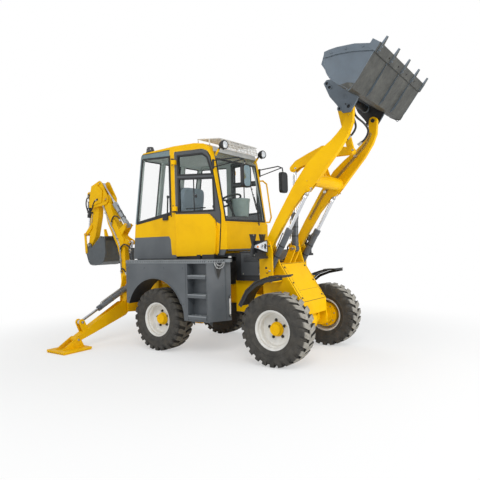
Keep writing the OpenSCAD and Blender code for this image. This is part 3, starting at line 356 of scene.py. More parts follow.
def lamp_glass():
    m = Mat("lamp_glass", 0.06, spec=0.6, coat=1.0)
    ribs = m.span(m.noise(120.0, 1.0, 0.4, (1, 5, 0.3)), 0.4, 0.6, 0.0, 1.0)
    return m.finish(m.mix(ribs, "EEF1F3", "B9C0C5"), None, ribs, 0.25)


M = {
    "yellow": paint("yellow_paint", "E6AE00", "F2BB00", "F6C200", 0.46, 0.01, dirt_amount=0.12, spec=0.14),
    "slate": paint("slate_paint", "4E5357", "575C60", "606468", 0.42, 0.12, dirt="565249", dirt_amount=0.3),
    "bucket": paint("bucket_paint", "58636D", "626D77", "6C7781", 0.42, 0.15, dirt="4E4B45", dirt_z=9.0,
                    dirt_amount=0.25),
    "hoe_bucket": paint("hoe_bucket_paint", "464C50", "4F5559", "585E62", 0.45, 0.1, dirt="45433D", dirt_z=2.4,
                        dirt_amount=0.5),
    "white": paint("rim_white", "D6D4CD", "E0DFDA", "EAE9E5", 0.36, 0.2, dirt="7A6A52", dirt_z=0.9, dirt_amount=0.3),
    "barrel": paint("barrel_paint", "45494D", "4E5257", "585C61", 0.38, 0.2, dirt_amount=0.1),
    "barrel_light": paint("barrel_light", "8B9194", "989EA1", "A4A9AC", 0.36, 0.25, dirt_amount=0.05),
    # The legs' barrels take a lighter grey than the other barrels: partly their own paint, partly a painted highlight
    # for the shine along their tops.
    "barrel_leg_lightened_for_highlight": paint("barrel_leg_lightened_for_highlight", "62676C", "6E7378", "7B8085", 0.3, 0.4, dirt_amount=0.1),
    "frame_grey": paint("frame_grey", "3B3E41", "434649", "4C4F52", 0.4, 0.1, dirt_amount=0.0),
    "wear": bucket_wear(),
    "tyre_front": rubber("rubber_front", AXLE_X["front"], "86827A", "ABA79D"),
    "tyre_rear": rubber("rubber_rear", AXLE_X["rear"], "5C574C", "7D766A"),
    "chrome": plain("chrome_rod", "C6C8CC", "DCDDE0", 6.0, 0.18, metal=1.0),
    "black": plain("black_plastic", "161719", "222325", 7.0, 0.45, grain=0.12, grain_scale=420.0),
    "seal": plain("seal_rubber", "111213", "1D1E1F", 9.0, 0.55, grain=0.15),
    "hose": plain("hose_rubber", "151617", "232425", 20.0, 0.5, grain=0.2),
    "fabric": seat_fabric(),
    "iron": plain("cast_iron", "2A2A2A", "4A4844", 9.0, 0.6, metal=0.3, grain=0.35, grain_scale=70.0),
    "zinc": plain("zinc", "9C9A92", "C3C1BA", 40.0, 0.34, metal=1.0),
    "brass": plain("brass_fitting", "B89A50", "D8BE78", 40.0, 0.34, metal=1.0),
    "pipe": plain("pipe_paint", "7E6A3A", "9C8248", 12.0, 0.4, coat=0.2),
    "glass": window_glass("window_glass", "93A5A2", "A3B3B0", 0.025),
    "glass_dark": window_glass("visor_glass", "6F7F7B", "7F8E8A", 0.5),
    "lens": lamp_glass(),
    "mirror": plain("mirror_glass", "7F979F", "9DB2B8", 9.0, 0.1, metal=0.8),
    "beacon": plain("beacon_lens", "2B2B2E", "3E3E43", 12.0, 0.22, coat=0.5),
    "orange": plain("orange_lens", "D06A10", "E88A20", 90.0, 0.2, coat=0.6),
    "red": plain("red_lens", "8E1410", "B01E16", 90.0, 0.2, coat=0.6),
    "mesh": plain("mesh_paint", "B9BBBA", "D2D4D3", 9.0, 0.45),
    "cowl": plain("dash_cowl", "7E8F8B", "8E9F9B", 5.0, 0.7, grain=0.2),
    "tint": plain("tinted_band", "61757A", "74888C", 5.0, 0.3),
    "lining": plain("headlining", "B2BFB9", "C2CCC6", 5.0, 0.8, grain=0.2),
    "plate": plain("tread_plate", "777C7F", "8A8F91", 6.0, 0.42, coat=0.1),
}


# Mesh helpers

def side_view(x, z, y):
    return (x, y, z)


def front_view(y, z, x):
    return (x, y, z)


def top_view(x, y, z):
    return (x, y, z)


def inset(pts, d):
    """An outline moved inwards by d, corner by corner."""
    area2 = sum(p[0] * q[1] - q[0] * p[1] for p, q in zip(pts, pts[1:] + pts[:1]))
    sign = 1 if area2 > 0 else -1
    out = []
    for i, p in enumerate(pts):
        p, before, after = Vector(p), Vector(pts[i - 1]), Vector(pts[(i + 1) % len(pts)])
        a, b = (p - before).normalized(), (after - p).normalized()
        na, nb = Vector((-a.y, a.x)) * sign, Vector((-b.y, b.x)) * sign
        out.append(tuple(p + (na + nb) * (d / max(0.3, 1 + na.dot(nb)))))
    return out


def curve_through(pts, per):
    """Points of a smooth curve through pts."""
    pts = [Vector(p) for p in pts]
    ends = [pts[0] * 2 - pts[1]] + pts + [pts[-1] * 2 - pts[-2]]
    out = []
    for p, q, r, s in zip(ends, ends[1:], ends[2:], ends[3:]):
        for k in range(per):
            t = k / per
            out.append(0.5 * (2 * q + (r - p) * t + (2 * p - 5 * q + 4 * r - s) * t * t
                              + (3 * q - p - 3 * r + s) * t * t * t))
    return out + [pts[-1]]


def round_places(count, r, first=0):
    """Places [across, up] spaced evenly round a circle, first being the first one's angle in degrees."""
    turns = [math.radians(first + 360 / count * k) for k in range(count)]
    return [(r * math.cos(a), r * math.sin(a)) for a in turns]


def across(axis):
    """Two directions square to an axis."""
    axis = Vector(axis).normalized()
    guess = Vector((0, 0, 1)) if abs(axis.z) < 0.9 else Vector((1, 0, 0))
    u = axis.cross(guess).normalized()
    return axis, u, axis.cross(u)


class Shape:
    """Closed forms on one body, gathered into one mesh for each material."""

    def __init__(self, name, body, both=False, flip=False):
        self.name, self.body, self.both, self.flip = name, body, both, flip
        self.meshes = {}

    def put(self, mat, verts, faces, smooth=False):
        bm = self.meshes.setdefault(mat, bmesh.new())
        for sign in ((-1 if self.flip else 1,) if not self.both else (1, -1)):
            made = [bm.verts.new(A(v[0], v[1] * sign, v[2])) for v in verts]
            for f in faces:
                bm.faces.new([made[i] for i in f]).smooth = smooth

    def loft(self, mat, rings, closed=False, smooth=False):
        """Rings of equal length joined one to the next, capped at both ends unless closed."""
        n = len(rings[0])
        faces = []
        for k in range(len(rings) if closed else len(rings) - 1):
            a, b = k * n, (k + 1) % len(rings) * n
            faces += [(a + i, a + (i + 1) % n, b + (i + 1) % n, b + i) for i in range(n)]
        if not closed:
            faces += [tuple(range(n))[::-1], tuple(range((len(rings) - 1) * n, len(rings) * n))]
        self.put(mat, [v for ring in rings for v in ring], faces, smooth)

    def prism(self, mat, pts, d0, d1, to=side_view):
        self.loft(mat, [[to(a, b, d) for a, b in pts] for d in (d0, d1)])

    def box(self, mat, lo, hi):
        self.prism(mat, [(lo[0], lo[1]), (hi[0], lo[1]), (hi[0], hi[1]), (lo[0], hi[1])], lo[2], hi[2], top_view)

    def frame(self, mat, pts, width, d0, d1, to=side_view):
        """A flat band along the inside of an outline."""
        inner = inset(pts, width)
        self.loft(mat, [[to(*o, d0), to(*o, d1), to(*i, d1), to(*i, d0)] for o, i in zip(pts, inner)], closed=True)

    def lathe(self, mat, profile, at, axis=(0, 1, 0), n=32, closed=False, smooth=True):
        """A profile of (radius, distance along the axis) turned about the axis."""
        axis, u, v = across(axis)
        rings = []
        for k in range(n):
            a = 2 * math.pi * k / n
            out = u * math.cos(a) + v * math.sin(a)
            rings.append([Vector(at) + axis * h + out * max(r, 0.01) for r, h in profile])
        m = len(profile)
        faces = []
        for k in range(n):
            a, b = k * m, (k + 1) % n * m
            faces += [(a + i, b + i, b + (i + 1) % m, a + (i + 1) % m) for i in range(m if closed else m - 1)]
        if not closed:
            faces += [tuple(k * m for k in range(n)), tuple(k * m + m - 1 for k in range(n))[::-1]]
        self.put(mat, [p for ring in rings for p in ring], faces, smooth)

    def tube(self, mat, pts, r, n=10, per=6):
        """A round tube along a smooth curve, or along the points themselves where per is 0."""
        path = curve_through(pts, per) if per else [Vector(p) for p in pts]
        rings = []
        _, u, _ = across(path[1] - path[0])
        for i, p in enumerate(path):
            ahead = (path[min(i + 1, len(path) - 1)] - path[max(i - 1, 0)]).normalized()
            u = (u - ahead * u.dot(ahead)).normalized()
            v = ahead.cross(u)
            rings.append([p + (u * math.cos(2 * math.pi * k / n) + v * math.sin(2 * math.pi * k / n)) * r
                          for k in range(n)])
        self.loft(mat, rings, smooth=True)

    def bolt(self, at, axis, r=9, mat="zinc"):
        """A washer and a hexagon head."""
        self.lathe(mat, [(r * 1.35, -1), (r * 1.35, r * 0.2), (r * 0.9, r * 0.22)], at, axis, 16, smooth=False)
        self.lathe(mat, [(r, 0), (r, r * 0.65), (r * 0.86, r * 0.8)], at, axis, 6, smooth=False)

    def pin_head(self, x, z, y, out, r, mat="yellow"):
        """The chamfered end of a pin with its keeper plate and bolt, out being the side it faces."""
        self.lathe(mat, [(r, -2), (r, 9), (r - 3, 12), (r * 0.3, 12), (r * 0.24, 9)], (x, y, z), (0, out, 0), 28)
        self.prism("zinc", [(x + r * 0.55, z - 9), (x + r + 26, z - 9), (x + r + 26, z + 9), (x + r * 0.55, z + 9)],
                   y, y + out * 5)
        self.bolt((x + r + 14, y + out * 5, z), (0, out, 0), 7)

    def fitting(self, at, axis, r, mat="zinc"):
        """The crimped end and the nut of a hose, along the axis from the port."""
        self.lathe(mat, [(r * 1.45, 0), (r * 1.45, r * 1.3)], at, axis, 6, smooth=False)
        self.lathe(mat, [(r * 1.1, r * 1.2), (r * 1.25, r * 1.5), (r * 1.25, r * 3.8), (r * 1.05, r * 4.2)], at,
                   axis, 14)

    def hose(self, pts, r=9, ends="zinc"):
        """A hydraulic hose held by a fitting at each end."""
        path = curve_through(pts, 8)
        self.tube("hose", path, r, 10, 0)
        self.fitting(path[0], path[1] - path[0], r, ends)
        self.fitting(path[-1], path[-2] - path[-1], r, ends)

    def done(self, width=1.5, segments=2, replaces=None):
        """Makes the objects, one for each material. The first stands for the nodes in replaces."""
        for mat, bm in self.meshes.items():
            bmesh.ops.recalc_face_normals(bm, faces=bm.faces)
            mesh = bpy.data.meshes.new(f"{self.name}_{mat}")
            bm.to_mesh(mesh)
            bm.free()
            obj = bpy.data.objects.new(mesh.name, mesh)
            bpy.context.collection.objects.link(obj)
            mesh.materials.append(M[mat])
            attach(obj, self.body)
            if width:
                round_edges(obj, width / 1000, segments)
        for node in replaces or ():
            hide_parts(node)


def round_edges(obj, width, segments=2, angle=32):
    bevel = obj.modifiers.new("round", "BEVEL")
    bevel.width = width
    bevel.segments = segments
    bevel.limit_method = "ANGLE"
    bevel.angle_limit = math.radians(angle)
    weight = obj.modifiers.new("weight", "WEIGHTED_NORMAL")
    weight.keep_sharp = True
    for p in obj.data.polygons:
        p.use_smooth = True
    return obj


def dressed(node, mat, width=3.0, segments=2, second=None, where=None):
    """A copy of a solid with rounded edges, which stands for it. Faces that where() picks take the second finish."""
    mesh = NODES[node].data.copy()
    mesh.name = node + "_dressed"
    bm = bmesh.new()
    bm.from_mesh(mesh)
    bmesh.ops.remove_doubles(bm, verts=bm.verts, dist=1e-5)
    bmesh.ops.dissolve_degenerate(bm, dist=1e-5, edges=bm.edges)
    bmesh.ops.dissolve_limit(bm, angle_limit=math.radians(0.6), verts=bm.verts, edges=bm.edges, delimit={"NORMAL"})
    mesh.materials.clear()
    for key in (mat, second) if second else (mat,):
        mesh.materials.append(M[key])
    for f in bm.faces:
        f.material_index = 1 if second and where(*frame_mm(f.calc_center_median()), f.normal) else 0
    bm.to_mesh(mesh)
    bm.free()
    if "sharp_edge" in mesh.attributes:
        mesh.attributes.remove(mesh.attributes["sharp_edge"])
    obj = bpy.data.objects.new(mesh.name, mesh)
    bpy.context.collection.objects.link(obj)
    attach(obj, BODY[node])
    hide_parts(node)
    return round_edges(obj, width / 1000, segments)


# Wheels

TYRE = [(222.5, 110), (226, 121), (240, 128), (262, 141), (272, 146), (276, 150), (284, 150), (288, 146.5),
        (310, 150.5), (335, 149), (341, 151), (347, 149), (365, 143), (380, 136), (388, 126), (394, 112), (396, 0)]
# Sections across one block from the middle of the tread to its wall:
# [distance from the middle, lag in degrees, outer radius, foot radius, half width in degrees at the top and the foot]
BLOCK = [(-14, -0.6, 420, 392, 4.2, 4.9), (40, 1.2, 420, 392, 4.6, 5.2), (84, 3.8, 420, 390, 4.6, 5.2),
         (122, 5.4, 418, 384, 4.2, 5.0), (140, 6.6, 413, 374, 3.9, 4.7), (150.5, 7.2, 396, 352, 3.4, 4.4),
         (152, 7.4, 366, 346, 2.8, 3.7)]
BLOCKS = 24
RIM = [(221.5, -118), (221.5, 118), (228, 121), (230, 124.5), (227, 127), (219, 125), (209, 119), (203, 112),
       (201, 82), (190, 76), (186, 70), (184, 30), (180, 20), (165, 14), (150, 10), (72, 6), (60, 6), (60, -8),
       (150, -8), (172, -6), (186, -30), (193, -60), (201, -76), (203, -112), (209, -119)]
HUB = [(84, 4), (84, 20), (78, 26), (70, 30), (67, 62), (63, 68), (58, 70), (22, 70), (20, 66)]
STUD_R = 105


def wheel(end, hand, side):
    at = (AXLE_X[end], WHEEL_Y * side, WHEEL_R)
    name = f"{end}_{hand}"
    rubber_key = "tyre_" + end
    tyre = Shape("tyre_" + name, BODY["tyre_" + name])
    tyre.lathe(rubber_key, TYRE + [(r, -y) for r, y in reversed(TYRE[:-1])], at, n=96, closed=True)
    for k in range(BLOCKS):
        for half in (1, -1):
            middle = 360 / BLOCKS * (k + (0.5 if half < 0 else 0))
            rings = []
            for y, lag, top, foot, wide, wide_foot in BLOCK:
                ring = []
                for r, turn in ((top, -wide), (top, wide), (foot, wide_foot), (foot, -wide_foot)):
                    a = math.radians(middle + lag + turn)
                    ring.append((at[0] + r * math.cos(a), at[1] + y * half, at[2] + r * math.sin(a)))
                rings.append(ring)
            tyre.loft(rubber_key, rings)
    for rib_r in (300, 322):
        tyre.lathe(rubber_key, [(rib_r - 2, 147), (rib_r, 151.8), (rib_r + 2, 147)],
                   at, (0, side, 0), 96, closed=True)
    tyre.done(2.2, 2, ["tyre_" + name])

    rim = Shape("rim_" + name, BODY["rim_" + name])
    axis = (0, side, 0)
    rim.lathe("white", RIM, at, axis, 72, closed=True)
    rim.lathe("yellow", HUB, at, axis, 40)
    for dx, dz in round_places(5, STUD_R, 24):
        spot = Vector(at) + Vector((dx, 8 * side, dz))
        rim.lathe("iron", [(19, 0), (19, 3)], spot, axis, 18, smooth=False)
        rim.lathe("iron", [(14, 2), (14, 17), (12, 20)], spot, axis, 6, smooth=False)
        rim.lathe("iron", [(8, 18), (8, 27), (6.5, 29)], spot, axis, 12, smooth=False)
    for dx, dz in round_places(8, 49):
        rim.bolt(Vector(at) + Vector((dx, 70 * side, dz)), axis, 6, "yellow")
    rim.tube("brass", [(at[0] + 180, at[1] + 74 * side, at[2] + 62), (at[0] + 168, at[1] + 92 * side, at[2] + 58),
                       (at[0] + 156, at[1] + 96 * side, at[2] + 54)], 3.4, 8)
    rim.done(1.2, 2, ["rim_" + name])


def wheels():
    for end in AXLE_X:
        wheel(end, "right", NEAR)
        wheel(end, "left", FAR)


# Cab

QUARTER = [(-512, 1735), (165, 1832), (165, 2625), (-345, 2652), (-370, 2640)]
DOOR_PANE = [(52, 1852), (590, 1852), (583, 2285), (52, 2310)]
DOOR_TOP_PANE = [(52, 2350), (576, 2325), (505, 2560), (425, 2618), (52, 2618)]
SCREEN = [(-470, 20), (470, 20), (470, 857), (-470, 857)]
DOOR_TURN = math.radians(12.09)
DOOR_OUT = (math.sin(DOOR_TURN), -math.cos(DOOR_TURN), 0)
SCREEN_OUT = (0.986, 0, 0.164)


def on_wall(x, z, out):
    """The cab's near side behind the door, out being the distance outwards."""
    return x, -650 - 10 * (x + 700) / 950 - out, z


def on_door(u, z, out):
    c, s = math.cos(DOOR_TURN), math.sin(DOOR_TURN)
    return 250 + c * u + s * out, -660 + s * u - c * out, z


def door_depth(x, y):
    return (x - 250) * math.sin(DOOR_TURN) - (660 - abs(y)) * math.cos(DOOR_TURN)


def on_screen(y, up, out):
    """The windscreen's plane, up being the way from its foot at 1700 above the floor."""
    return 955 - 0.164 * up + 0.986 * out, y, 1700 + 0.986 * up + 0.164 * out


def on_back(y, up, out):
    """The cab's rear wall, up being the way from 1720 above the floor."""
    return -550 + 0.1608 * up - 0.987 * out, y, 1720 + 0.987 * up + 0.1608 * out


def cab_inside(x, y, z, normal):
    if (x > 600 and normal.x > 0.3) or (x < -380 and normal.x < -0.5) or (x > 780 and z > 2565):
        return False
    if z > 2500 and normal.z < -0.5:
        return True
    deep = door_depth(x, y) if x > 250 else abs(y) - 650 - 10 * (x + 700) / 950
    return deep < -12 and 1340 < z < 2735 and -640 < x < 905


def rounded(cx, cy, w, h, r, n=6):
    """The corners of a rounded rectangle."""
    out = []
    for qx, qy, start in ((1, 1, 0), (-1, 1, 90), (-1, -1, 180), (1, -1, 270)):
        for k in range(n + 1):
            a = math.radians(start + 90 * k / n)
            out.append((cx + qx * (w / 2 - r) + r * math.cos(a), cy + qy * (h / 2 - r) + r * math.sin(a)))
    return out


SECOND = {
    "cab_shell": ("lining", cab_inside),
    "door_right": ("frame_grey", lambda x, y, z, n: door_depth(x, y) < 1),
    "door_left": ("frame_grey", lambda x, y, z, n: door_depth(x, y) < 1),
}


def door_trim(hand, flip):
    trim = Shape("door_trim_" + hand, BODY["door_" + hand], flip=flip)
    for pane in (DOOR_PANE, DOOR_TOP_PANE):
        trim.frame("seal", inset(pane, -7), 24, -3, 4, on_door)
        trim.frame("seal", inset(pane, -5), 20, -43, -39, on_door)
    trim.prism("seal", [(276, 1868), (288, 1868), (288, 2286), (276, 2287)], -24, -12, on_door)
    trim.prism("black", rounded(316, 2060, 30, 44, 8, 3), -18, -4, on_door)
    trim.prism("black", rounded(572, 1905, 26, 34, 7, 3), -18, -2, on_door)
    trim.prism("seal", [(16, 1845), (610, 1845), (610, 1851), (16, 1851)], -1, 1.5, on_door)
    for z in (1891, 1919, 2516, 2544):
        trim.bolt(on_door(22, z, 1), DOOR_OUT, 6)
    # the panel's paint runs out to the door's lower edges
    trim.prism("yellow", [(12, 1264), (599, 1264), (638, 1301), (668, 1676), (614, 1700), (622, 1600), (601, 1299),
                          (560, 1267), (12, 1267)], -2, 3, on_door)
    # handle inside
    trim.tube("black", [on_door(150, 1900, -46), on_door(150, 1905, -78), on_door(400, 1905, -78),
                        on_door(400, 1900, -46)], 8, 10, 4)
    trim.done(1.0)


def seals():
    trim = Shape("cab_seals", BODY["cab_shell"], both=True)
    trim.frame("seal", inset(QUARTER, -8), 26, -3, 4, on_wall)
    trim.prism("seal", [(-515, 1734), (168, 1832), (168, 1872), (-515, 1766)], -2, 5, on_wall)
    trim.prism("seal", [(166, 1800), (182, 1803), (182, 2640), (166, 2636)], -2, 4, on_wall)
    # tinted bands over the quarter glass and behind it
    trim.prism("tint", [(-366, 2644), (-345, 2656), (170, 2629), (170, 2708), (-356, 2712), (-376, 2692)], -2,
               3, on_wall)
    trim.prism("seal", [(-378, 2694), (-356, 2711), (172, 2707), (172, 2715), (-358, 2719), (-384, 2698)], -2,
               5, on_wall)
    trim.prism("tint", [(-545, 1738), (-514, 1738), (-372, 2642), (-378, 2692), (-392, 2684)], -2, 3, on_wall)
    # skirt under the cab's front corner, with a lip across the front
    trim.prism("slate", [(978, 1343), (700, 1343), (700, 1262), (948, 1268)], -512, -500)
    trim.prism("black", rounded(70, 1792, 96, 62, 10, 3), -4, 20, on_wall)
    for k in range(4):
        trim.prism("seal", rounded(70, 1772 + 13 * k, 78, 5, 2, 1), 18, 22, on_wall)
    trim.prism("black", rounded(96, 1838, 40, 24, 6, 2), -2, 13, on_wall)
    trim.done(1.0)

    screen = Shape("windscreen_trim", BODY["cab_shell"])
    screen.frame("seal", inset(SCREEN, -9), 26, -4, 5, on_screen)
    screen.prism("glass_dark", [(-486, 862), (486, 862), (486, 948), (-486, 948)], 1, 7, on_screen)
    screen.prism("frame_grey", [(-455, 24), (455, 24), (455, 150), (-90, 92), (-455, 80)], -60, -44, on_screen)
    screen.prism("mesh", [(-500, 950), (500, 950), (494, 1018), (-494, 1018)], 2, 7, on_screen)
    # wiper with its arm, links and blade
    screen.lathe("black", [(20, -4), (20, 22), (14, 30)], on_screen(268, -26, 0), SCREEN_OUT, 16)
    screen.tube("black", [on_screen(268, -26, 26), on_screen(276, 190, 32), on_screen(262, 380, 26)], 5.5, 8, 4)
    screen.tube("black", [on_screen(292, -26, 20), on_screen(292, 190, 30), on_screen(272, 372, 24)], 3.5, 8, 4)
    screen.prism("black", [(286, 190), (296, 190), (246, 548), (236, 548)], 8, 15, on_screen)
    screen.prism("seal", [(288, 192), (293, 192), (243, 546), (238, 546)], 4, 9, on_screen)
    for up in (250, 330, 410, 490):
        y = 291 - 50 * (up - 190) / 358
        screen.box("black", Vector(on_screen(y, up, 16)) - Vector((4, 8, 8)),
                   Vector(on_screen(y, up, 20)) + Vector((4, 8, 8)))
    screen.bolt(on_screen(210, -30, 0), SCREEN_OUT, 6)
    screen.prism("slate", [(966, 1324), (983, 1324), (983, 1344), (966, 1344)], -478, 478)
    screen.prism("slate", [(776, -476), (978, -476), (978, 476), (776, 476)], 1336, 1344, top_view)
    screen.done(1.0)

    back = Shape("rear_light_trim", BODY["cab_shell"])
    for middle, wide in ((-427.5, 345), (0, 370), (427.5, 345)):
        back.frame("seal", rounded(middle, 478, wide + 16, 943, 20, 3), 24, -4, 4, on_back)
    back.done(1.0)


def roof_parts():
    guard = Shape("guard_wires", BODY["roof_guard"])
    rows = [((490, 2846), (868, 2804), 446), ((868, 2804), (905, 2672), 420)]
    for (x0, z0), (x1, z1), half in rows:
        run = math.hypot(x1 - x0, z1 - z0)
        step = 34
        for k in range(-int(2 * half / step) - 12, int(2 * half / step) + 12):
            for lean in (1, -1):
                a, b = k * step, k * step + lean * run * 0.75
                t0 = t1 = None
                for t in [i / 24 for i in range(25)]:
                    if abs(a + (b - a) * t) <= half:
                        t0, t1 = (t if t0 is None else t0), t
                if t0 is None or t1 - t0 < 0.1:
                    continue
                ends = [(x0 + (x1 - x0) * t, a + (b - a) * t, z0 + (z1 - z0) * t) for t in (t0, t1)]
                guard.tube("mesh", ends, 2.3, 4, 0)
    guard.done(0.4, 1)

    fit = Shape("cab_fittings_trim", BODY["cab_fittings"])
    for side in (-1, 1):
        lamp = (960, 459 * side, 2703)
        turn = Vector((0.96, -0.28, 0.02))
        fit.lathe("black", [(58, -12), (60, 2), (57, 8), (50, 10), (50, 2)], lamp, turn, 32)
        fit.lathe("lens", [(50, 1), (46, 8), (30, 13), (8, 15)], lamp, turn, 32)
        fit.lathe("black", [(9, 0), (9, 40)], (938, 459 * side, 2640), (0, 0, 1), 12)
        fit.bolt((926, 459 * side - 16, 2652), (0, -1, 0), 8)
        # mirror's glass, rim and clamp
        mirror_y = 465 * side
        near = side < 0
        fit.prism("mirror" if near else "black", rounded(mirror_y, 2262, 140, 262, 46), 1302, 1308, front_view)
        fit.prism("mirror", rounded(mirror_y, 2262, 144, 266, 46), 1257, 1263, front_view)
        fit.frame("seal", rounded(mirror_y, 2262, 168, 290, 56), 13, 1300, 1311, front_view)
        fit.tube("black", [(1283, mirror_y, 2400), (1282, mirror_y, 2425), (1278, mirror_y + side * 3, 2450)],
                 8, 8, 4)
        fit.bolt((1283, mirror_y - 9, 2418), (0, -1, 0), 7)
    fit.lathe("black", [(64, -14), (66, 2), (60, 8)], (-300, -560, 2738), (0, 0, 1), 32)
    fit.lathe("beacon", [(56, 24), (58, 40), (54, 70), (42, 86), (14, 95)], (-300, -560, 2738), (0, 0, 1), 32)
    fit.done(1.2)


def inside():
    room = Shape("cab_inside_trim", BODY["controls"])
    room.lathe("cowl", [(100, 0), (112, 60), (122, 200), (132, 236), (126, 250), (96, 254)],
               (820, 70, 1790), (0, 0, 1), 40)
    room.prism("black", rounded(70, 2046, 120, 14, 6, 3), 780, 860, front_view)
    wheel_at = Vector((660, 0, 2025))
    tilt = Vector((-0.42, 0, 0.91))
    room.lathe("black", [(38, -8), (40, 6), (30, 16), (6, 18)], wheel_at, tilt, 24)
    for y in (-180, -90, 90, 180):
        room.lathe("black", [(7, -6), (18, 6), (22, 22), (16, 38), (5, 44)], (-345, y, 2128), (0, 0, 1), 16)
        room.lathe("seal", [(34, 0), (30, 12), (18, 26), (20, 32), (12, 46)], (-350, y, 1845), (0, 0, 1), 20)
    room.prism("black", rounded(0, 1856, 420, 8, 3, 2), -425, -275, front_view)
    for y in (-70, 0, 70):
        room.lathe("orange", [(8, 0), (8, 4), (5, 7)], (-300, y + 35, 1860), (0, 0, 1), 12)
    room.prism("black", rounded(-330, 1420, 90, 12, 4, 2), 700, 820, front_view)
    room.done(1.0)


def cab():
    door_trim("right", False)
    door_trim("left", True)
    seals()
    roof_parts()
    inside()


# Seat: a cushion and a back of upholstered foam, crowned between their seams by a formula

def cushion(name, centre, size, lean, crown, panels):
    """A padded block: size is [depth, width, height], the seams lie lower than the padding between them."""
    n = 28
    depth, width, height = size
    turn = Matrix.Rotation(math.radians(lean), 3, "Y")
    bm = bmesh.new()
    bmesh.ops.create_cube(bm, size=2)
    bmesh.ops.subdivide_edges(bm, edges=bm.edges, cuts=n, use_grid_fill=True)
    for v in bm.verts:
        x, y, z = v.co
        soft = [abs(c) ** 7 for c in (x, y, z)]
        full = Vector((x, y, z)) / (sum(soft) ** (1 / 7))
        seam = min(abs(y - s) for s in panels)
        pad = crown * (1 - math.exp(-(seam / 0.1) ** 2)) * (1 - x * x) ** 0.5 * (1 - y * y * 0.6)
        v.co = Vector(A(*centre)) + turn @ Vector((full.x * depth / 2, full.y * width / 2,
                                                   full.z * (height / 2) + (pad if z > 0.5 else 0))) / 1000
    mesh = bpy.data.meshes.new(name)
    bmesh.ops.recalc_face_normals(bm, faces=bm.faces)
    bm.to_mesh(mesh)
    bm.free()
    for p in mesh.polygons:
        p.use_smooth = True
    obj = bpy.data.objects.new(name, mesh)
    bpy.context.collection.objects.link(obj)
    mesh.materials.append(M["fabric"])
    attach(obj, BODY["seat"])
    return obj


def seat():
    cushion("seat_cushion", (40, 0, 1560), (478, 478, 116), 0, 12, (-0.55, 0.55))
    cushion("seat_back", (-46, 0, 1915), (700, 462, 96), -82, 10, (-0.5, 0.5))
    trim = Shape("seat_trim", BODY["seat"])
    for side in (-1, 1):
        trim.tube("black", [(150, side * 244, 1628), (60, side * 247, 1640), (-60, side * 244, 1640)], 16, 12, 5)
        trim.prism("black", [(-40, 1520), (10, 1520), (-20, 1650), (-60, 1650)], side * 236, side * 248)
    trim.done(1.5)


# Decks

CHAMFER = Vector((0.4658, 0.8849, 0))
CHAMFER_OUT = Vector((0.8849, -0.4658, 0))


def on_chamfer(s, z, out):
    """The slanted front face of a tank, s being the way inwards from its outer edge."""
    p = Vector((TANK_X, -DECK_Y, z)) + CHAMFER * s + CHAMFER_OUT * out
    return p.x, p.y, p.z


def side_face(x, z, out):
    """The outer side of a deck."""
    return x, -DECK_Y - out, z


def link_chain(shape, pts, mat="mesh", link=9, wire=2.0):
    """A chain of oval links along a curve, each turned a quarter against the last."""
    path = curve_through(pts, 40)
    gone, turn = 0, 0
    for a, b in zip(path, path[1:]):
        gone += (b - a).length
        if gone < link * 1.45:
            continue
        gone, turn = 0, turn + 1
        ahead, u, v = across(b - a)
        flat = u if turn % 2 else v
        ring = [a + ahead * link * math.cos(t) + flat * link * 0.55 * math.sin(t)
                for t in [2 * math.pi * k / 12 for k in range(12)]]
        normal = ahead.cross(flat)
        rings = []
        for k, p in enumerate(ring):
            out = (p - a).normalized()
            rings.append([p + (out * math.cos(2 * math.pi * j / 5) + normal * math.sin(2 * math.pi * j / 5)) * wire
                          for j in range(5)])
        shape.loft(mat, rings, closed=True, smooth=True)


def treads(shape, lo, hi, z, step=38):
    """Raised bars of chequer plate on a level surface."""
    x, row = lo[0] + step / 2, 0
    while x < hi[0] - step / 3:
        y, row = lo[1] + step / 2, row + 1
        while y < hi[1] - step / 3:
            lean = 1 if (int((y - lo[1]) / step) + row) % 2 else -1
            d, w = Vector((9, 9 * lean)), Vector((2, -2 * lean))
            corners = [Vector((x, y)) - d - w, Vector((x, y)) + d - w, Vector((x, y)) + d + w, Vector((x, y)) - d + w]
            if on_deck(x, y):
                shape.prism("plate", [tuple(c) for c in corners], z - 1, z + 2.2, top_view)
            y += step
        x += step


def on_deck(x, y):
    """Whether a place lies on the deck and not past its slanted corner."""
    return (Vector((x, y, 0)) - Vector((TANK_X, -DECK_Y, 0))).dot(CHAMFER_OUT) < -12


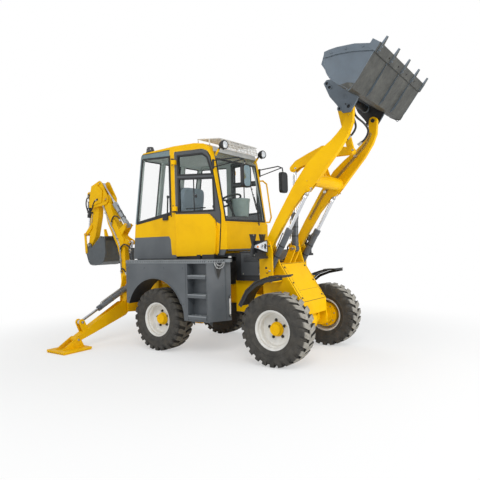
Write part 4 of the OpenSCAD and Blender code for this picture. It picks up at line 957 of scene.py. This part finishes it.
def deck():
    trim = Shape("deck_trim", BODY["deck_right"], both=True)
    treads(trim, (-545, -842), (1060, -660), 1225)
    for z in (521, 790, 1030):
        treads(trim, (616, -854), (904, -748), z, 26)
        trim.prism("plate", [(612, z - 14), (908, z - 14), (908, z + 2), (612, z + 2)], 11, 15, side_face)
        for x in (612, 902):
            trim.prism("slate", [(-853, z - 44), (-738, z - 44), (-738, z - 140)], x, x + 7, front_view)
    # lighter edge of the deck, pressed with slots
    trim.prism("plate", [(-550, 1181), (924, 1181), (924, 1221), (-550, 1221)], -1, 4, side_face)
    for k in range(42):
        x = -530 + 34.6 * k
        trim.prism("frame_grey", [(x, 1190), (x + 20, 1196), (x + 20, 1212), (x, 1206)], 3, 5.4, side_face)
    trim.prism("plate", [(2, 1181), (318, 1181), (318, 1221), (2, 1221)], -1, 4, on_chamfer)
    for k in range(9):
        trim.prism("frame_grey", [(14 + 34 * k, 1190), (34 + 34 * k, 1196), (34 + 34 * k, 1212), (14 + 34 * k, 1206)],
                   3, 5.4, on_chamfer)
    # edge of the ladder, seam of the tank and rolled lip round the arch
    for x in (596, 915):
        trim.prism("slate", [(x, 458), (x + 9, 458), (x + 9, 1174), (x, 1174)], -1, 7, side_face)
    trim.prism("seal", [(566, 605), (570, 605), (570, 1174), (566, 1174)], -1, 0.8, side_face)
    lip = [(ARCH_R * math.cos(math.radians(a)), ARCH_Z + ARCH_R * math.sin(math.radians(a)))
           for a in range(20, 159, 3)]
    trim.tube("slate", [(x, -849, z) for x, z in lip if z > 632], 6, 8, 0)
    for x, z in ((-500, 1120), (-500, 700), (-180, 1120), (180, 1120), (520, 1120), (520, 660)):
        trim.bolt((x, -DECK_Y, z), (0, -1, 0), 8, "slate")
    trim.box("slate", (600, -838, 446), (930, -560, 452))
    for x in (640, 780, 900):
        trim.bolt((x, -700, 447), (0, 0, -1), 9, "iron")
    # filler neck with the cap's chain; its recess is drawn as flat dark grey and iron sheets on the slanted face,
    # painted shade of the recess
    trim.prism("frame_grey", [(92, 1172), (206, 1172), (200, 1096), (176, 1010), (150, 966), (126, 1006),
                              (100, 1092)],
               -1, 2, on_chamfer)
    trim.prism("iron", [(124, 1172), (196, 1172), (188, 1096), (168, 1020), (152, 990), (138, 1018), (124, 1092)],
               1, 3.5, on_chamfer)
    trim.lathe("black", [(26, 0), (28, 10), (24, 22), (10, 24)], on_chamfer(168, 1150, 0), CHAMFER_OUT, 24)
    link_chain(trim, [on_chamfer(100, 1190, 14), on_chamfer(112, 1140, 18), on_chamfer(148, 1112, 26),
                      on_chamfer(205, 1128, 18), on_chamfer(238, 1180, 10)], link=13, wire=3.4)
    link_chain(trim, [on_chamfer(118, 1184, 20), on_chamfer(140, 1150, 26), on_chamfer(176, 1146, 30),
                      on_chamfer(216, 1184, 22)], link=13, wire=3.4)
    # level gauge
    trim.prism("white", rounded(302, 628, 17, 232, 8, 4), 1, 9, on_chamfer)
    for z in (512, 744):
        trim.prism("black", rounded(302, z, 27, 30, 6, 3), -1, 14, on_chamfer)
        trim.bolt(on_chamfer(302, z, 14), CHAMFER_OUT, 7)
    trim.prism("plate", [(1012, -630), (1070, -570), (1116, -574), (1116, -604), (1060, -646)], 1184, 1221, top_view)
    trim.prism("hoe_bucket", [(244, 470), (262, 470), (262, 1172), (244, 1172)], -1, 6, on_chamfer)
    for s, z in ((30, 480), (30, 900), (210, 480), (210, 900)):
        trim.bolt(on_chamfer(s, z, 0), CHAMFER_OUT, 7, "slate")
    # drain plug and lamps at the back
    trim.lathe("zinc", [(18, 0), (18, 8), (12, 14)], (760, -700, 450), (0, 0, -1), 6, smooth=False)
    trim.prism("red", rounded(-770, 1080, 60, 90, 12, 4), -562, -548, front_view)
    trim.prism("orange", rounded(-770, 1000, 60, 60, 12, 4), -562, -548, front_view)
    trim.frame("black", rounded(-770, 1045, 78, 176, 16, 4), 8, -566, -546, front_view)
    trim.done(0.8)

    black = Shape("cab_mounts", BODY["cab_shell"], both=True)
    for x in (-420, 60, 640):
        black.lathe("seal", [(44, 0), (52, 12), (52, 24), (44, 36)], (x, -420, 1240), (0, 0, 1), 24)
    # small white reflector under the door
    black.prism("white", [(1064, 1238), (1108, 1238), (1108, 1258), (1064, 1258)], 2, 6, side_reflector)
    black.prism("black", [(1057, 1222), (1114, 1222), (1114, 1264), (1057, 1264)], -8, 3, side_reflector)
    black.box("black", (664, -618, 1226), (864, -560, 1283))
    black.box("seal", (-556, -628, 1226), (640, -600, 1283))
    black.done(1.0)


def side_reflector(x, z, out):
    return x, -572 - out, z


# Hood and what stands round the front frame

# Painted shade: the hood's faces at its back end and at its foot are black, for the shaded gap between the tank and
# the hood.
SECOND["hood"] = ("black", lambda x, y, z, n: x < 1089 or z < 986)


def hood():
    def panel(x, z, out):
        return x, -370 - out, z

    trim = Shape("hood_trim", BODY["hood"], both=True)
    trim.frame("seal", [(1093, 988), (1432, 988), (1432, 1307), (1093, 1307)], 16, -1, 4, panel)
    trim.prism("frame_grey", [(1111, 1006), (1414, 1006), (1414, 1289), (1111, 1289)], -1, 3, panel)
    for k in range(5):
        z = 1180 + 18 * k
        trim.prism("black", [(1150, z), (1376, z), (1376, z + 7), (1150, z + 7)], 2, 7, panel)
    trim.lathe("black", [(15, 0), (15, 8), (11, 12)], (1392, -373, 1100), (0, -1, 0), 20)
    # A black L-shaped sheet along the back and the foot of the side panel, painted shade of the gap behind and under
    # the hood.
    trim.prism("black", [(1032, 936), (1429, 936), (1429, 986), (1432, 1004), (1091, 1004), (1091, 1284),
                         (1032, 1284)],
               -1, 3, panel)
    for x in (1140, 1390):
        trim.bolt((x, -374, 1022), (0, -1, 0), 7)
        trim.box("frame_grey", (x - 30, -330, 1308), (x + 30, -290, 1318))
    trim.done(1.2)

    top = Shape("hood_top", BODY["hood"])
    for k in range(7):
        x = 1150 + 34 * k
        top.prism("black", [(x, 1309), (x + 18, 1309), (x + 8, 1317), (x, 1317)], -220, 220)
    top.done(0.8)

    block = Shape("engine_trim", BODY["engine"])
    for side in (-1, 1):
        for k in range(4):
            block.lathe("iron", [(34, 0), (40, 12), (40, 52), (30, 60)], (40 + 150 * k, side * 228, 1010),
                        (0, side, 0), 20)
        block.tube("iron", [(40, side * 290, 1040), (260, side * 300, 1060), (490, side * 290, 1040)], 26, 14, 5)
    block.done(1.5)


# Stations of the lamp's lens, from its narrow end at the side round to its tall inner end:
# [x, y, low edge, high edge, depth backwards, depth inwards]
LENS = [(1526, -699, 1358, 1382, 0, 14), (1558, -701, 1352, 1390, 0, 14), (1584, -696, 1345, 1398, 8, 12),
        (1600, -676, 1336, 1407, 14, 4), (1605, -610, 1318, 1423, 15, 0), (1602, -516, 1300, 1438, 15, 0)]
COVER = Vector((0.5381, 0, -0.8429))
COVER_OUT = Vector((0.8429, 0, 0.5381))


def on_cover(y, down, out):
    """The inclined cover at the front, down being the way from its top edge."""
    p = Vector((1655, y, 1150)) + COVER * down + COVER_OUT * out
    return p.x, p.y, p.z


def front():
    lamp = Shape("headlamp_trim", BODY["headlamps"], both=True)
    lamp.loft("lens", [[(x, y, low), (x, y, high), (x - back, y + inward, high), (x - back, y + inward, low)]
                       for x, y, low, high, back, inward in LENS])
    for end in (2, 3):
        lamp.tube("black", [(s[0], s[1], s[end] + (3 if end == 3 else -3)) for s in LENS], 6, 8, 3)
    lamp.tube("black", [(LENS[-1][0], LENS[-1][1] + 3, LENS[-1][2] - 4),
                        (LENS[-1][0], LENS[-1][1] + 3, LENS[-1][3] + 4)],
              7, 8, 0)
    lamp.lathe("orange", [(13, 0), (13, 4), (8, 7)], (1588, -697, 1368), (0.75, -0.66, 0), 18)
    for y, r in ((-630, 24), (-562, 34)):
        lamp.lathe("chrome", [(r, 0), (r, 2.5), (r - 4, 3.5), (r - 4, 1)], (1605.5, y, 1370), (1, 0, 0), 28)
    for y in (-494, -722):
        for z in (1268, 1506):
            lamp.bolt((1548, y, z), (0, 1 if y > -600 else -1, 0), 8)
    lamp.hose([(1520, -560, 1300), (1480, -540, 1262), (1470, -500, 1200)], 7, "black")
    lamp.done(1.0)

    trim = Shape("front_trim", BODY["front_chassis"])
    frame = [(-292, 12), (292, 12), (292, 548), (-292, 548)]
    trim.prism("yellow", frame, -1, 4, on_cover)
    trim.frame("seal", inset(frame, -4), 4, -1, 5, on_cover)
    trim.prism("seal", [(-232, 16), (-229, 16), (-229, 546), (-232, 546)], 3, 4.6, on_cover)
    trim.prism("seal", [(-228, 392), (288, 392), (288, 395), (-228, 395)], 3, 4.6, on_cover)
    for y in (-262, 262):
        for down in (60, 280, 500):
            trim.bolt(on_cover(y, down, 4), COVER_OUT, 10, "iron")
    for side in (-1, 1):
        face = side * 445
        for x, z in ((1537, 1104), (1547, 1049)):
            trim.lathe("seal", [(15, -1), (15, 1.5), (9, 2)], (x, face, z), (0, side, 0), 20)
        trim.pin_head(*ARM_ROOT, face, side, 34)
        trim.pin_head(*LIFT_BASE, face, side, 24)
        # bracket of the mudguard
        trim.box("yellow", (1636, min(side * 560, side * 330), 938), (1692, max(side * 560, side * 330), 949))
        trim.bolt((1664, side * 500, 950), (0, 0, -1), 9)
        trim.bolt((1664, side * 540, 938), (0, 0, -1), 9)
        for x in (1765, 1865):
            trim.bolt((x, side * 250, 520), (0, 0, -1), 13, "iron")
        # hoses from the frame's valve to the foot of each lift cylinder
        trim.hose([(1452, side * 340, 1130), (1500, side * 352, 1180), (1560, side * 356, 1150),
                   (1588, side * 362, 1108)],
                  9, "brass")
        trim.hose([(1290, side * 200, 930), (1180, side * 210, 880), (1060, side * 190, 840),
                   (960, side * 150, 800)], 11)
    # hose and pipe of the tilt cylinder
    trim.hose([(1515, -50, 1168), (1590, -52, 1210), (1640, -54, 1275), (1622, -56, 1345), (1660, -54, 1392)],
              10, "brass")
    trim.hose([(1500, 60, 1168), (1575, 70, 1215), (1625, 84, 1285), (1648, 80, 1340)], 10, "brass")
    for y in (-50, 60):
        trim.box("iron", (1480, y - 26, 1158), (1540, y + 26, 1172))
    trim.lathe("zinc", [(58, 0), (58, 12), (50, 16)], (910, 0, 922), (0, 0, 1), 28)
    trim.bolt((910, 0, 938), (0, 0, 1), 16)
    trim.done(1.2)

    wing = Shape("mudguard_trim", BODY["mudguards"], both=True)
    arc = [(1377, 684), (1401, 671), (1502, 846), (1627, 946), (1781, 999), (1984, 1024)]
    skirt = arc[1:] + [(1984, 1002), (1783, 964), (1640, 912), (1520, 820), (1424, 664)]
    wing.prism("black", skirt, -832, -825)
    for y in (-829, -581):
        wing.tube("black", [(x, y, z + 12) for x, z in arc[1:]], 8, 8, 4)
    wing.box("black", (1790, -800, 1018), (1980, -610, 1034))
    for y in (-640, -600):
        wing.bolt((1664, y, 984), (0, 0, 1), 9)
    wing.done(1.5)

    for name, end in (("axle_trim", "front"), ("rear_axle_trim", "rear")):
        shape, x = Shape(name, BODY[end + "_axle"]), AXLE_X[end]
        for dx, dz in round_places(12, 128):
            shape.bolt((x + dx, 60, WHEEL_R + dz), (0, 1, 0), 7)
        for side in (-1, 1):
            for dx, dz in round_places(8, 132, 10):
                shape.bolt((x + dx, side * 574, WHEEL_R + dz), (0, -side, 0), 8)
            shape.hose([(x - 40, side * 300, 480), (x - 70, side * 400, 500), (x - 60, side * 500, 490),
                        (x - 40, side * 560, 470)], 6)
        shape.done(1.0)


# Cylinders, loader

def toward(p, q, d):
    """The point [x, z] at the distance d from p on the way to q."""
    a, b = Vector(p), Vector(q)
    return a + (b - a).normalized() * d


def cylinder_trim(shape, base, eye, length, r, y, face, finish="barrel", pipe="black"):
    """Gland, weld rings, ports and the pipe of a hydraulic cylinder. face is the direction of its ports."""
    way = (Vector(eye) - Vector(base)).normalized()
    axis = Vector((way.x, 0, way.y))
    foot = Vector((base[0], y, base[1]))
    face = Vector(face)
    face = (face - axis * face.dot(axis)).normalized()
    shape.lathe(finish, [(r, -64), (r + 6, -58), (r + 6, -4), (r + 2, -1), (r * 0.7, 1), (r * 0.64, 2),
                         (r * 0.64, 0), (r - 1, -3)], foot + axis * length, axis, 32, closed=True)
    shape.lathe(finish, [(r, 52), (r + 4, 58), (r + 4, 72), (r, 78)], foot, axis, 32, closed=True)
    for d in (84, length - 84):
        spot = foot + axis * d + face * (r - 4)
        shape.lathe("zinc", [(15, 0), (15, 14), (11, 16)], spot, face, 6, smooth=False)
    run = [foot + axis * (length - 84) + face * (r + 10), foot + axis * (length - 98) + face * (r + 20),
           foot + axis * (length * 0.6) + face * (r + 12), foot + axis * 170 + face * (r + 12),
           foot + axis * 120 + face * (r + 26)]
    shape.tube(pipe, run, 6, 8, 5)
    for d in (length * 0.6, length * 0.35):
        spot = foot + axis * d
        shape.lathe("black", [(r + 0.5, -7), (r + 2.5, -6), (r + 2.5, 6), (r + 0.5, 7)], spot, axis, 28, closed=True)
    shape.bolt(foot + axis * length * 0.6 + face * (r + 18), face, 6)


def worn(x, y, z, normal):
    """The side of the loader bucket that digs."""
    return normal.z < -0.45 and normal.x > 0.2 or (normal.x < -0.2 and normal.z < -0.5 and z < 3100)


SECOND["loader_bucket"] = ("wear", worn)
SECOND["coupler"] = ("black", lambda x, y, z, n: abs(y) < 412)
for arch_of in ("deck_right", "deck_left"):
    SECOND[arch_of] = ("seal", lambda x, y, z, n: abs(y) < 832 and math.hypot(x, z - ARCH_Z) < ARCH_R + 18)
FLOOR_HEEL, FLOOR_LIP = Vector((2841, 0, 2944)), Vector((3143, 0, 3330))
FLOOR = (FLOOR_LIP - FLOOR_HEEL).normalized()
FLOOR_OUT = Vector((FLOOR.z, 0, -FLOOR.x))
FLOOR_LENGTH = (FLOOR_LIP - FLOOR_HEEL).length


def under_floor(y, s, out):
    """The underside of the loader bucket, s being the way from its heel to its lip."""
    p = FLOOR_HEEL + FLOOR * s + FLOOR_OUT * out
    return p.x, y, p.z


def loader():
    arms = Shape("arm_trim", BODY["loader_arms"])
    run = [(1600, 1500), (1770, 1730), (1990, 2050), (2200, 2255), (2420, 2460), (2560, 2600), (2625, 2720),
           (2645, 2800)]
    for side in (-1, 1):
        inner = side * (375 - 30 - 8)
        for shift in (0, 20):
            pts = [(x - shift * 0.7, inner, z + shift * 0.7) for x, z in run[1:-1]]
            arms.tube("pipe", pts, 5.5, 8, 5)
            arms.fitting(Vector(pts[0]), Vector(pts[0]) - Vector(pts[1]), 7, "brass")
        for x, z in run[2:-2:2]:
            arms.box("zinc", (x - 30, inner - 9, z - 8), (x + 10, inner + 9, z + 24))
            arms.bolt((x - 10, inner - side * 9, z + 6), (0, -side, 0), 6)
        # pin heads, and weld beads round the cross tube and the root
        arms.pin_head(*ARM_ROOT, side * ARM_FACE, side, 32)
        arms.pin_head(*ARM_TIP, side * ARM_FACE, side, 26)
        arms.lathe("yellow", [(78, 0), (90, 0), (78, 12)], (2145, side * 345, 2140), (0, -side, 0), 40)
        arms.lathe("yellow", [(62, 0), (66, 4), (58, 8)], (1545, side * ARM_FACE, 1375), (0, side, 0), 32)
        arms.pin_head(*LIFT_EYE, side * ARM_FACE, side, 30)
        arms.pin_head(*ROCKER_PIN, side * 68, side, 25)
        # lubricator lines
        for x, z in ((1545, 1450), (2110, 2120), (2640, 2790)):
            arms.lathe("brass", [(5, 0), (5, 8), (3, 13)], (x, side * ARM_FACE, z), (0, side, 0), 8)
    # brackets at the lower ends of the coupler's hoses
    arms.box("iron", (2560, -345, 2530), (2600, -338, 2570))
    arms.box("iron", (2405, -345, 2415), (2455, -326, 2465))
    arms.done(1.5)

    lift = Shape("lift_trim", BODY["lift_barrels"])
    for side in (-1, 1):
        cylinder_trim(lift, LIFT_BASE, LIFT_EYE, 580, 38, side * LIFT_Y, (-0.6, side * 0.2, 0.5))
    lift.done(1.2)
    rods = Shape("rod_wipers", BODY["lift_rods"])
    p = toward(LIFT_BASE, LIFT_EYE, 1040)
    for side in (-1, 1):
        rods.lathe("zinc", [(23, -12), (28, -6), (28, 12), (23, 18)], (p.x, LIFT_Y * side, p.y),
                   (LIFT_EYE[0] - LIFT_BASE[0], 0, LIFT_EYE[1] - LIFT_BASE[1]), 24)
    rods.done(1.0)
    tilt = Shape("tilt_trim", BODY["tilt_barrel"])
    cylinder_trim(tilt, TILT_BASE, TILT_EYE, 460, 42, 0, (-0.7, -0.7, 0), pipe="pipe")
    tilt.pin_head(*TILT_BASE, -77, -1, 22, "zinc")
    tilt.done(1.2)

    rock = Shape("rocker_trim", BODY["rocker"])
    for side in (-1, 1):
        rock.pin_head(*TILT_EYE, side * 45, side, 24)
        rock.pin_head(*LINK_LOW, side * 45, side, 22)
        rock.lathe("yellow", [(72, 0), (72, 3), (60, 5), (40, 5)], (2150, side * 45, 2510), (0, side, 0), 36)
    rock.done(1.2)

    coupler = Shape("coupler_trim", BODY["coupler"])
    for side in (-1, 1):
        face = side * 432
        for (x, z), r in (((2407, 3182), 17), ((2439, 3133), 17), ((2548, 2872), 14), ((2655, 2880), 20)):
            coupler.lathe("bucket", [(r + 1, -2), (r + 13, -2), (r + 13, 5), (r + 9, 7), (r + 1, 7)],
                          (x, face, z), (0, side, 0), 28, closed=True)
            coupler.lathe("seal", [(r + 2, 0), (r + 2, 6)], (x, face - side * 14, z), (0, side, 0), 24)
        coupler.lathe("bucket", [(24, -1), (24, 3), (18, 4), (18, 1), (4, 1)], (2618, face, 2990), (0, side, 0), 28)
        coupler.lathe("seal", [(9, -1), (9, 1.5), (4, 1.6)], (2620, face, 2911), (0, side, 0), 18)
        coupler.lathe("bucket", [(42, 0), (54, 0), (42, 10)], (2530, side * 410, 3060), (0, -side, 0), 32)
    for y in (-250, -150, 150, 250):
        coupler.prism("black", rounded(y, 3060, 54, 22, 10, 4), 2560, 2578, front_view)
    coupler.box("iron", (2540, -60, 3086), (2600, 60, 3128))
    # two hoses from the coupler down between the arms, which swing along with it
    coupler.hose([(2640, -300, 2860), (2664, -318, 2770), (2687, -324, 2670), (2650, -326, 2600),
                  (2588, -326, 2552)], 12)
    coupler.hose([(2630, -250, 2880), (2680, -270, 2790), (2736, -200, 2722), (2752, -120, 2655), (2709, -100, 2572),
                  (2620, -100, 2510)], 12)
    for y in (-300, -250):
        coupler.box("iron", (2600, y - 18, 2862), (2650, y + 18, 2900))
        coupler.tube("iron", [(2625, y, 2890), (2600, y, 2960), (2560, y, 3040)], 10, 10, 3)
    coupler.done(1.2)

    bucket = Shape("bucket_trim", BODY["loader_bucket"])
    for k in range(6):
        y = (k - 2.5) * 300 if 0 < k < 5 else (k - 2.5) * 305
        bucket.bolt(under_floor(y, FLOOR_LENGTH - 52, 14), FLOOR_OUT, 9, "iron")
    bucket.prism("wear", [(-798, FLOOR_LENGTH - 101), (798, FLOOR_LENGTH - 101), (798, FLOOR_LENGTH - 95),
                          (-798, FLOOR_LENGTH - 95)], -1, 11, under_floor)
    for k in range(5):
        y = (k / 4 - 0.5) * 1500
        for s in (62, 26):
            bucket.bolt(under_floor(y, FLOOR_LENGTH - s, 26), FLOOR_OUT, 7, "bucket")
    for side in (-1, 1):
        # weld beads along the cheeks and gussets at the heel
        bead = [(2558, 3360), (2563, 3202), (2604, 3106), (2684, 3026), (2772, 2971), (2841, 2950), (3120, 3310)]
        bucket.tube("bucket", [(x, side * 802, z) for x, z in bead], 5, 6, 3)
        bucket.prism("wear", [(2700, 3000), (2780, 2952), (2845, 2938), (2880, 2985), (2800, 3010)], side * 806,
                     side * 801)
        for x, z in ((2640, 3352), (2800, 3354), (2980, 3330)):
            bucket.bolt((x, side * 812, z), (0, side, 0), 9, "bucket")
    bucket.done(1.2)


# Hoe

def hoe():
    boom = Shape("boom_trim", BODY["hoe_boom"])
    for shift in (0, 20):
        pts = [(-1560 + shift, -84, 1010), (-1578 + shift, -84, 1260), (-1596 + shift, -84, 1450),
               (-1700 + shift, -84, 1640),
               (-1850 + shift, -84, 1870), (-1980 + shift, -84, 2120)]
        boom.tube("zinc", pts, 6, 8, 5)
        boom.fitting(Vector(pts[0]), (0, 0, -1), 7)
        boom.fitting(Vector(pts[-1]), (-0.4, 0, 0.9), 7)
    for x, z in ((-1568, 1200), (-1640, 1560), (-1810, 1820), (-1930, 2010)):
        boom.box("zinc", (x - 22, -92, z - 7), (x + 34, -75, z + 7))
        boom.bolt((x + 6, -92, z), (0, -1, 0), 6)
    for side in (-1, 1):
        boom.pin_head(*BOOM_FOOT, side * 101, side, 30)
        boom.pin_head(*DIPPER_PIN, side * 112, side, 30)
        boom.pin_head(*DIPPER_BASE, side * 66, side, 20)
        boom.pin_head(*BOOM_EYE, side * 66, side, 20)
        boom.prism("yellow", [(-1590, 1380), (-1500, 1400), (-1470, 1560), (-1560, 1620), (-1650, 1600)],
                   side * 74, side * 80)
        boom.lathe("brass", [(5, 0), (5, 8), (3, 13)], (-1540, side * 75, 1180), (0, side, 0), 8)
    # hoses that hang in arcs beside the boom
    boom.hose([(-1772, -92, 1800), (-1740, -98, 1890), (-1677, -100, 1940), (-1590, -98, 1920),
               (-1529, -92, 1845)], 11)
    boom.hose([(-1560, -92, 1335), (-1520, -100, 1420), (-1443, -102, 1458), (-1330, -100, 1420),
               (-1300, -92, 1340)], 11)
    boom.done(1.2)

    arm = Shape("dipper_trim", BODY["hoe_dipper"])
    for side in (-1, 1):
        arm.pin_head(*HOE_BUCKET_BASE, side * 56, side, 20)
        arm.pin_head(*DIPPER_EYE, side * 109, side, 22)
        arm.prism("yellow", [(-2310, 2180), (-2250, 2440), (-2090, 2500), (-1960, 2400), (-1990, 2200),
                             (-2200, 2160)],
                  side * 108, side * 113)
    arm.hose([(-2365, -92, 2345), (-2402, -110, 2260), (-2408, -112, 2170), (-2370, -112, 2075), (-2326, -112, 2040),
              (-2262, -112, 2080), (-2221, -112, 2160), (-2170, -116, 2225), (-2100, -118, 2250)], 11)
    arm.box("iron", (-2120, -126, 2236), (-2080, -110, 2266))
    arm.box("iron", (-2385, -96, 2330), (-2345, -56, 2366))
    arm.hose([(-2330, 62, 2260), (-2410, 78, 2220), (-2450, 80, 2110), (-2410, 78, 2000), (-2335, 62, 2000)], 11)
    for y in (-56, 56):
        arm.tube("zinc", [(-2300, y, 2040), (-2320, y, 1960), (-2338, y, 1860)], 6, 8, 4)
        arm.box("iron", (-2345, y - 12, 2020), (-2300, y + 12, 2052))
        arm.box("iron", (-2345, y - 12, 2218), (-2300, y + 12, 2250))
    arm.done(1.2)

    for name, node, base, eye, length, r, face, finish in (
            ("boom_cylinder", "boom_barrel", BOOM_BASE, BOOM_EYE, 480, 42, (0.2, -1, 0), "barrel"),
            ("dipper_cylinder", "dipper_barrel", DIPPER_BASE, DIPPER_EYE, 500, 42, (0.6, -0.3, 0.6), "barrel_light"),
            ("bucket_cylinder", "bucket_barrel", HOE_BUCKET_BASE, IDLER_END, 425, 42, (-1, -0.3, 0), "black")):
        shape = Shape(name, BODY[node])
        cylinder_trim(shape, base, eye, length, r, 0, face, finish)
        shape.done(1.2)

    link = Shape("idler_trim", BODY["hoe_idler"])
    for side in (-1, 1):
        link.pin_head(*IDLER_END, side * 92, side, 18)
    link.done(1.0)

    bucket = Shape("hoe_bucket_trim", BODY["hoe_bucket"])
    for k in range(3):
        y = (k / 2 - 0.5) * 330
        bucket.prism("yellow", [(-1797, 1602), (-1836, 1606), (-1846, 1722), (-1834, 1728), (-1784, 1610)],
                     y - 23, y + 23)
        bucket.bolt((-1792, y, 1580), (1, 0, 0.1), 8, "iron")
    for side in (-1, 1):
        bucket.prism("hoe_bucket", [(-1915, 1615), (-1798, 1602), (-1796, 1560), (-1912, 1570)], side * 205,
                     side * 211)
        bucket.prism("hoe_bucket", [(-1806, 1560), (-1798, 1330), (-1820, 1325), (-1828, 1560)], side * 205,
                     side * 210)
        for x, z in ((-1880, 1590), (-1830, 1584)):
            bucket.bolt((x, side * 211, z), (0, side, 0), 7, "iron")
        bucket.tube("hoe_bucket", [(-1800, side * 206, 1330), (-1856, side * 206, 1188), (-1984, side * 206, 1128),
                                   (-2208, side * 206, 1138), (-2298, side * 206, 1310)], 5, 6, 3)
        bucket.pin_head(*HOE_BUCKET_PIN, side * 78, side, 24, "zinc")
    bucket.prism("iron", [(-1806, 1540), (-1790, 1540), (-1793, 1600), (-1812, 1604)], -200, 200)
    bucket.done(1.2)

    post = Shape("swing_trim", BODY["swing_post"])
    for side in (-1, 1):
        post.pin_head(*BOOM_BASE, side * 101, side, 22)
    post.hose([(-1400, -104, 960), (-1440, -120, 1040), (-1500, -118, 1060), (-1540, -104, 1010)], 11)
    post.done(1.2)

    carrier = Shape("hoe_frame_trim", BODY["hoe_frame"])
    for y in (-260, -160, 160, 260):
        for z in (620, 880):
            carrier.bolt((-1020, y, z), (1, 0, 0), 11, "iron")
    carrier.lathe("zinc", [(60, 0), (60, 10), (50, 14)], (-1320, 0, 862), (0, 0, 1), 28)
    carrier.bolt((-1320, 0, 876), (0, 0, 1), 16)
    for side in (-1, 1):
        carrier.hose([(-1080, side * 120, 962), (-1120, side * 130, 1040), (-1040, side * 140, 1080),
                      (-930, side * 150, 1030), (-800, side * 150, 980)], 11)
    carrier.done(1.2)


# Stabilisers: worked out across the machine, as [y, z] in the plane x

def stabilisers():
    base, eye, length, r, x0 = Vector(LEG_BASE), Vector(LEG_EYE), 660, 40, -1100
    way = (eye - base).normalized()
    for hand, side in (("right", -1), ("left", 1)):
        axis = Vector((0, way.x * -side, way.y))
        foot = Vector((x0, base.x * -side, base.y))
        barrel = Shape("leg_cylinder_" + hand, BODY["leg_barrel_" + hand])
        up = Vector((0, 0, 1))
        face = (up - axis * up.dot(axis)).normalized()
        barrel.lathe("barrel", [(r, -60), (r + 1, -54), (r + 1, -4), (r, 0), (r * 0.64, 6), (r * 0.6, 6),
                                (r * 0.6, 2),
                                (r - 1, -2)], foot + axis * length, axis, 32, closed=True)
        barrel.lathe("barrel", [(r - 1, 52), (r + 1, 58), (r + 1, 72), (r - 1, 78)], foot, axis, 32, closed=True)
        for off in (-14, 14):
            across_x = Vector((off, 0, 0))
            barrel.tube("zinc", [foot + axis * (84 if off < 0 else 120) + face * (r + 2) + across_x,
                                 foot + axis * 150 + face * (r + 12) + across_x,
                                 foot + axis * (length - 130) + face * (r + 12) + across_x,
                                 foot + axis * (length - 80) + face * (r + 2) + across_x], 5.5, 8, 5)
        for d in (200, 380):
            barrel.lathe("zinc", [(r + 0.5, -7), (r + 3, -6), (r + 3, 6), (r + 0.5, 7)], foot + axis * d, axis,
                         28, closed=True)
        barrel.done(1.2)
        leg = Shape("leg_trim_" + hand, BODY["leg_" + hand])
        for x, out in ((x0 - 58, -1), (x0 + 58, 1)):
            for (y, z), pin_r in ((LEG_PIN, 28), (PAD_PIN, 18), (LEG_EYE, 18)):
                leg.lathe("zinc", [(pin_r, -2), (pin_r, 10), (pin_r - 4, 13)], (x, y * -side, z), (out, 0, 0), 24)
                leg.bolt((x + out * 13, y * -side, z), (out, 0, 0), 7)
        leg.done(1.2)
        pad = Shape("pad_trim_" + hand, BODY["pad_" + hand])
        for x in (x0 - 78, x0 + 78):
            pad.lathe("zinc", [(17, -2), (17, 8), (13, 10)], (x, PAD_PIN[0] * -side, PAD_PIN[1]),
                      (1 if x > x0 else -1, 0, 0), 20)
        pad.done(1.0)


# Finish of the solids

FINISH = {"yellow": "yellow", "slate": "slate", "black": "black", "white": "white", "chrome": "chrome",
          "steel": "iron", "glass": "glass", "tyre": "tyre_front", "bucket": "bucket", "fabric": "fabric"}
OWN_FINISH = {"hoe_bucket": "hoe_bucket", "loader_bucket": "bucket", "coupler": "bucket", "lift_barrels": "barrel",
              "tilt_barrel": "barrel", "boom_barrel": "barrel", "dipper_barrel": "barrel_light",
              "bucket_barrel": "black",
              "leg_barrel_right": "barrel_leg_lightened_for_highlight", "leg_barrel_left": "barrel_leg_lightened_for_highlight"}
ROUNDING = {"cab_shell": 6.0, "loader_arms": 3.0, "loader_bucket": 2.5, "hood": 5.0, "mudguards": 4.0}
MADE_ANEW = [f"{kind}_{end}_{hand}" for kind in ("tyre", "rim") for end in AXLE_X for hand in ("right", "left")]


def finish_nodes():
    for node, obj in NODES.items():
        key = OWN_FINISH.get(node, FINISH[SLOT[node]])
        obj.data.materials.clear()
        obj.data.materials.append(M[key])
        if node in MADE_ANEW or "glass" in node:
            continue
        second, where = SECOND.get(node, (None, None))
        dressed(node, key, ROUNDING.get(node, 2.5), 2, second, where)


look()
light()
floor()
bpy.context.scene.view_settings.view_transform = "Standard"
finish_nodes()
wheels()
cab()
deck()
hood()
front()
loader()
hoe()
stabilisers()
seat()
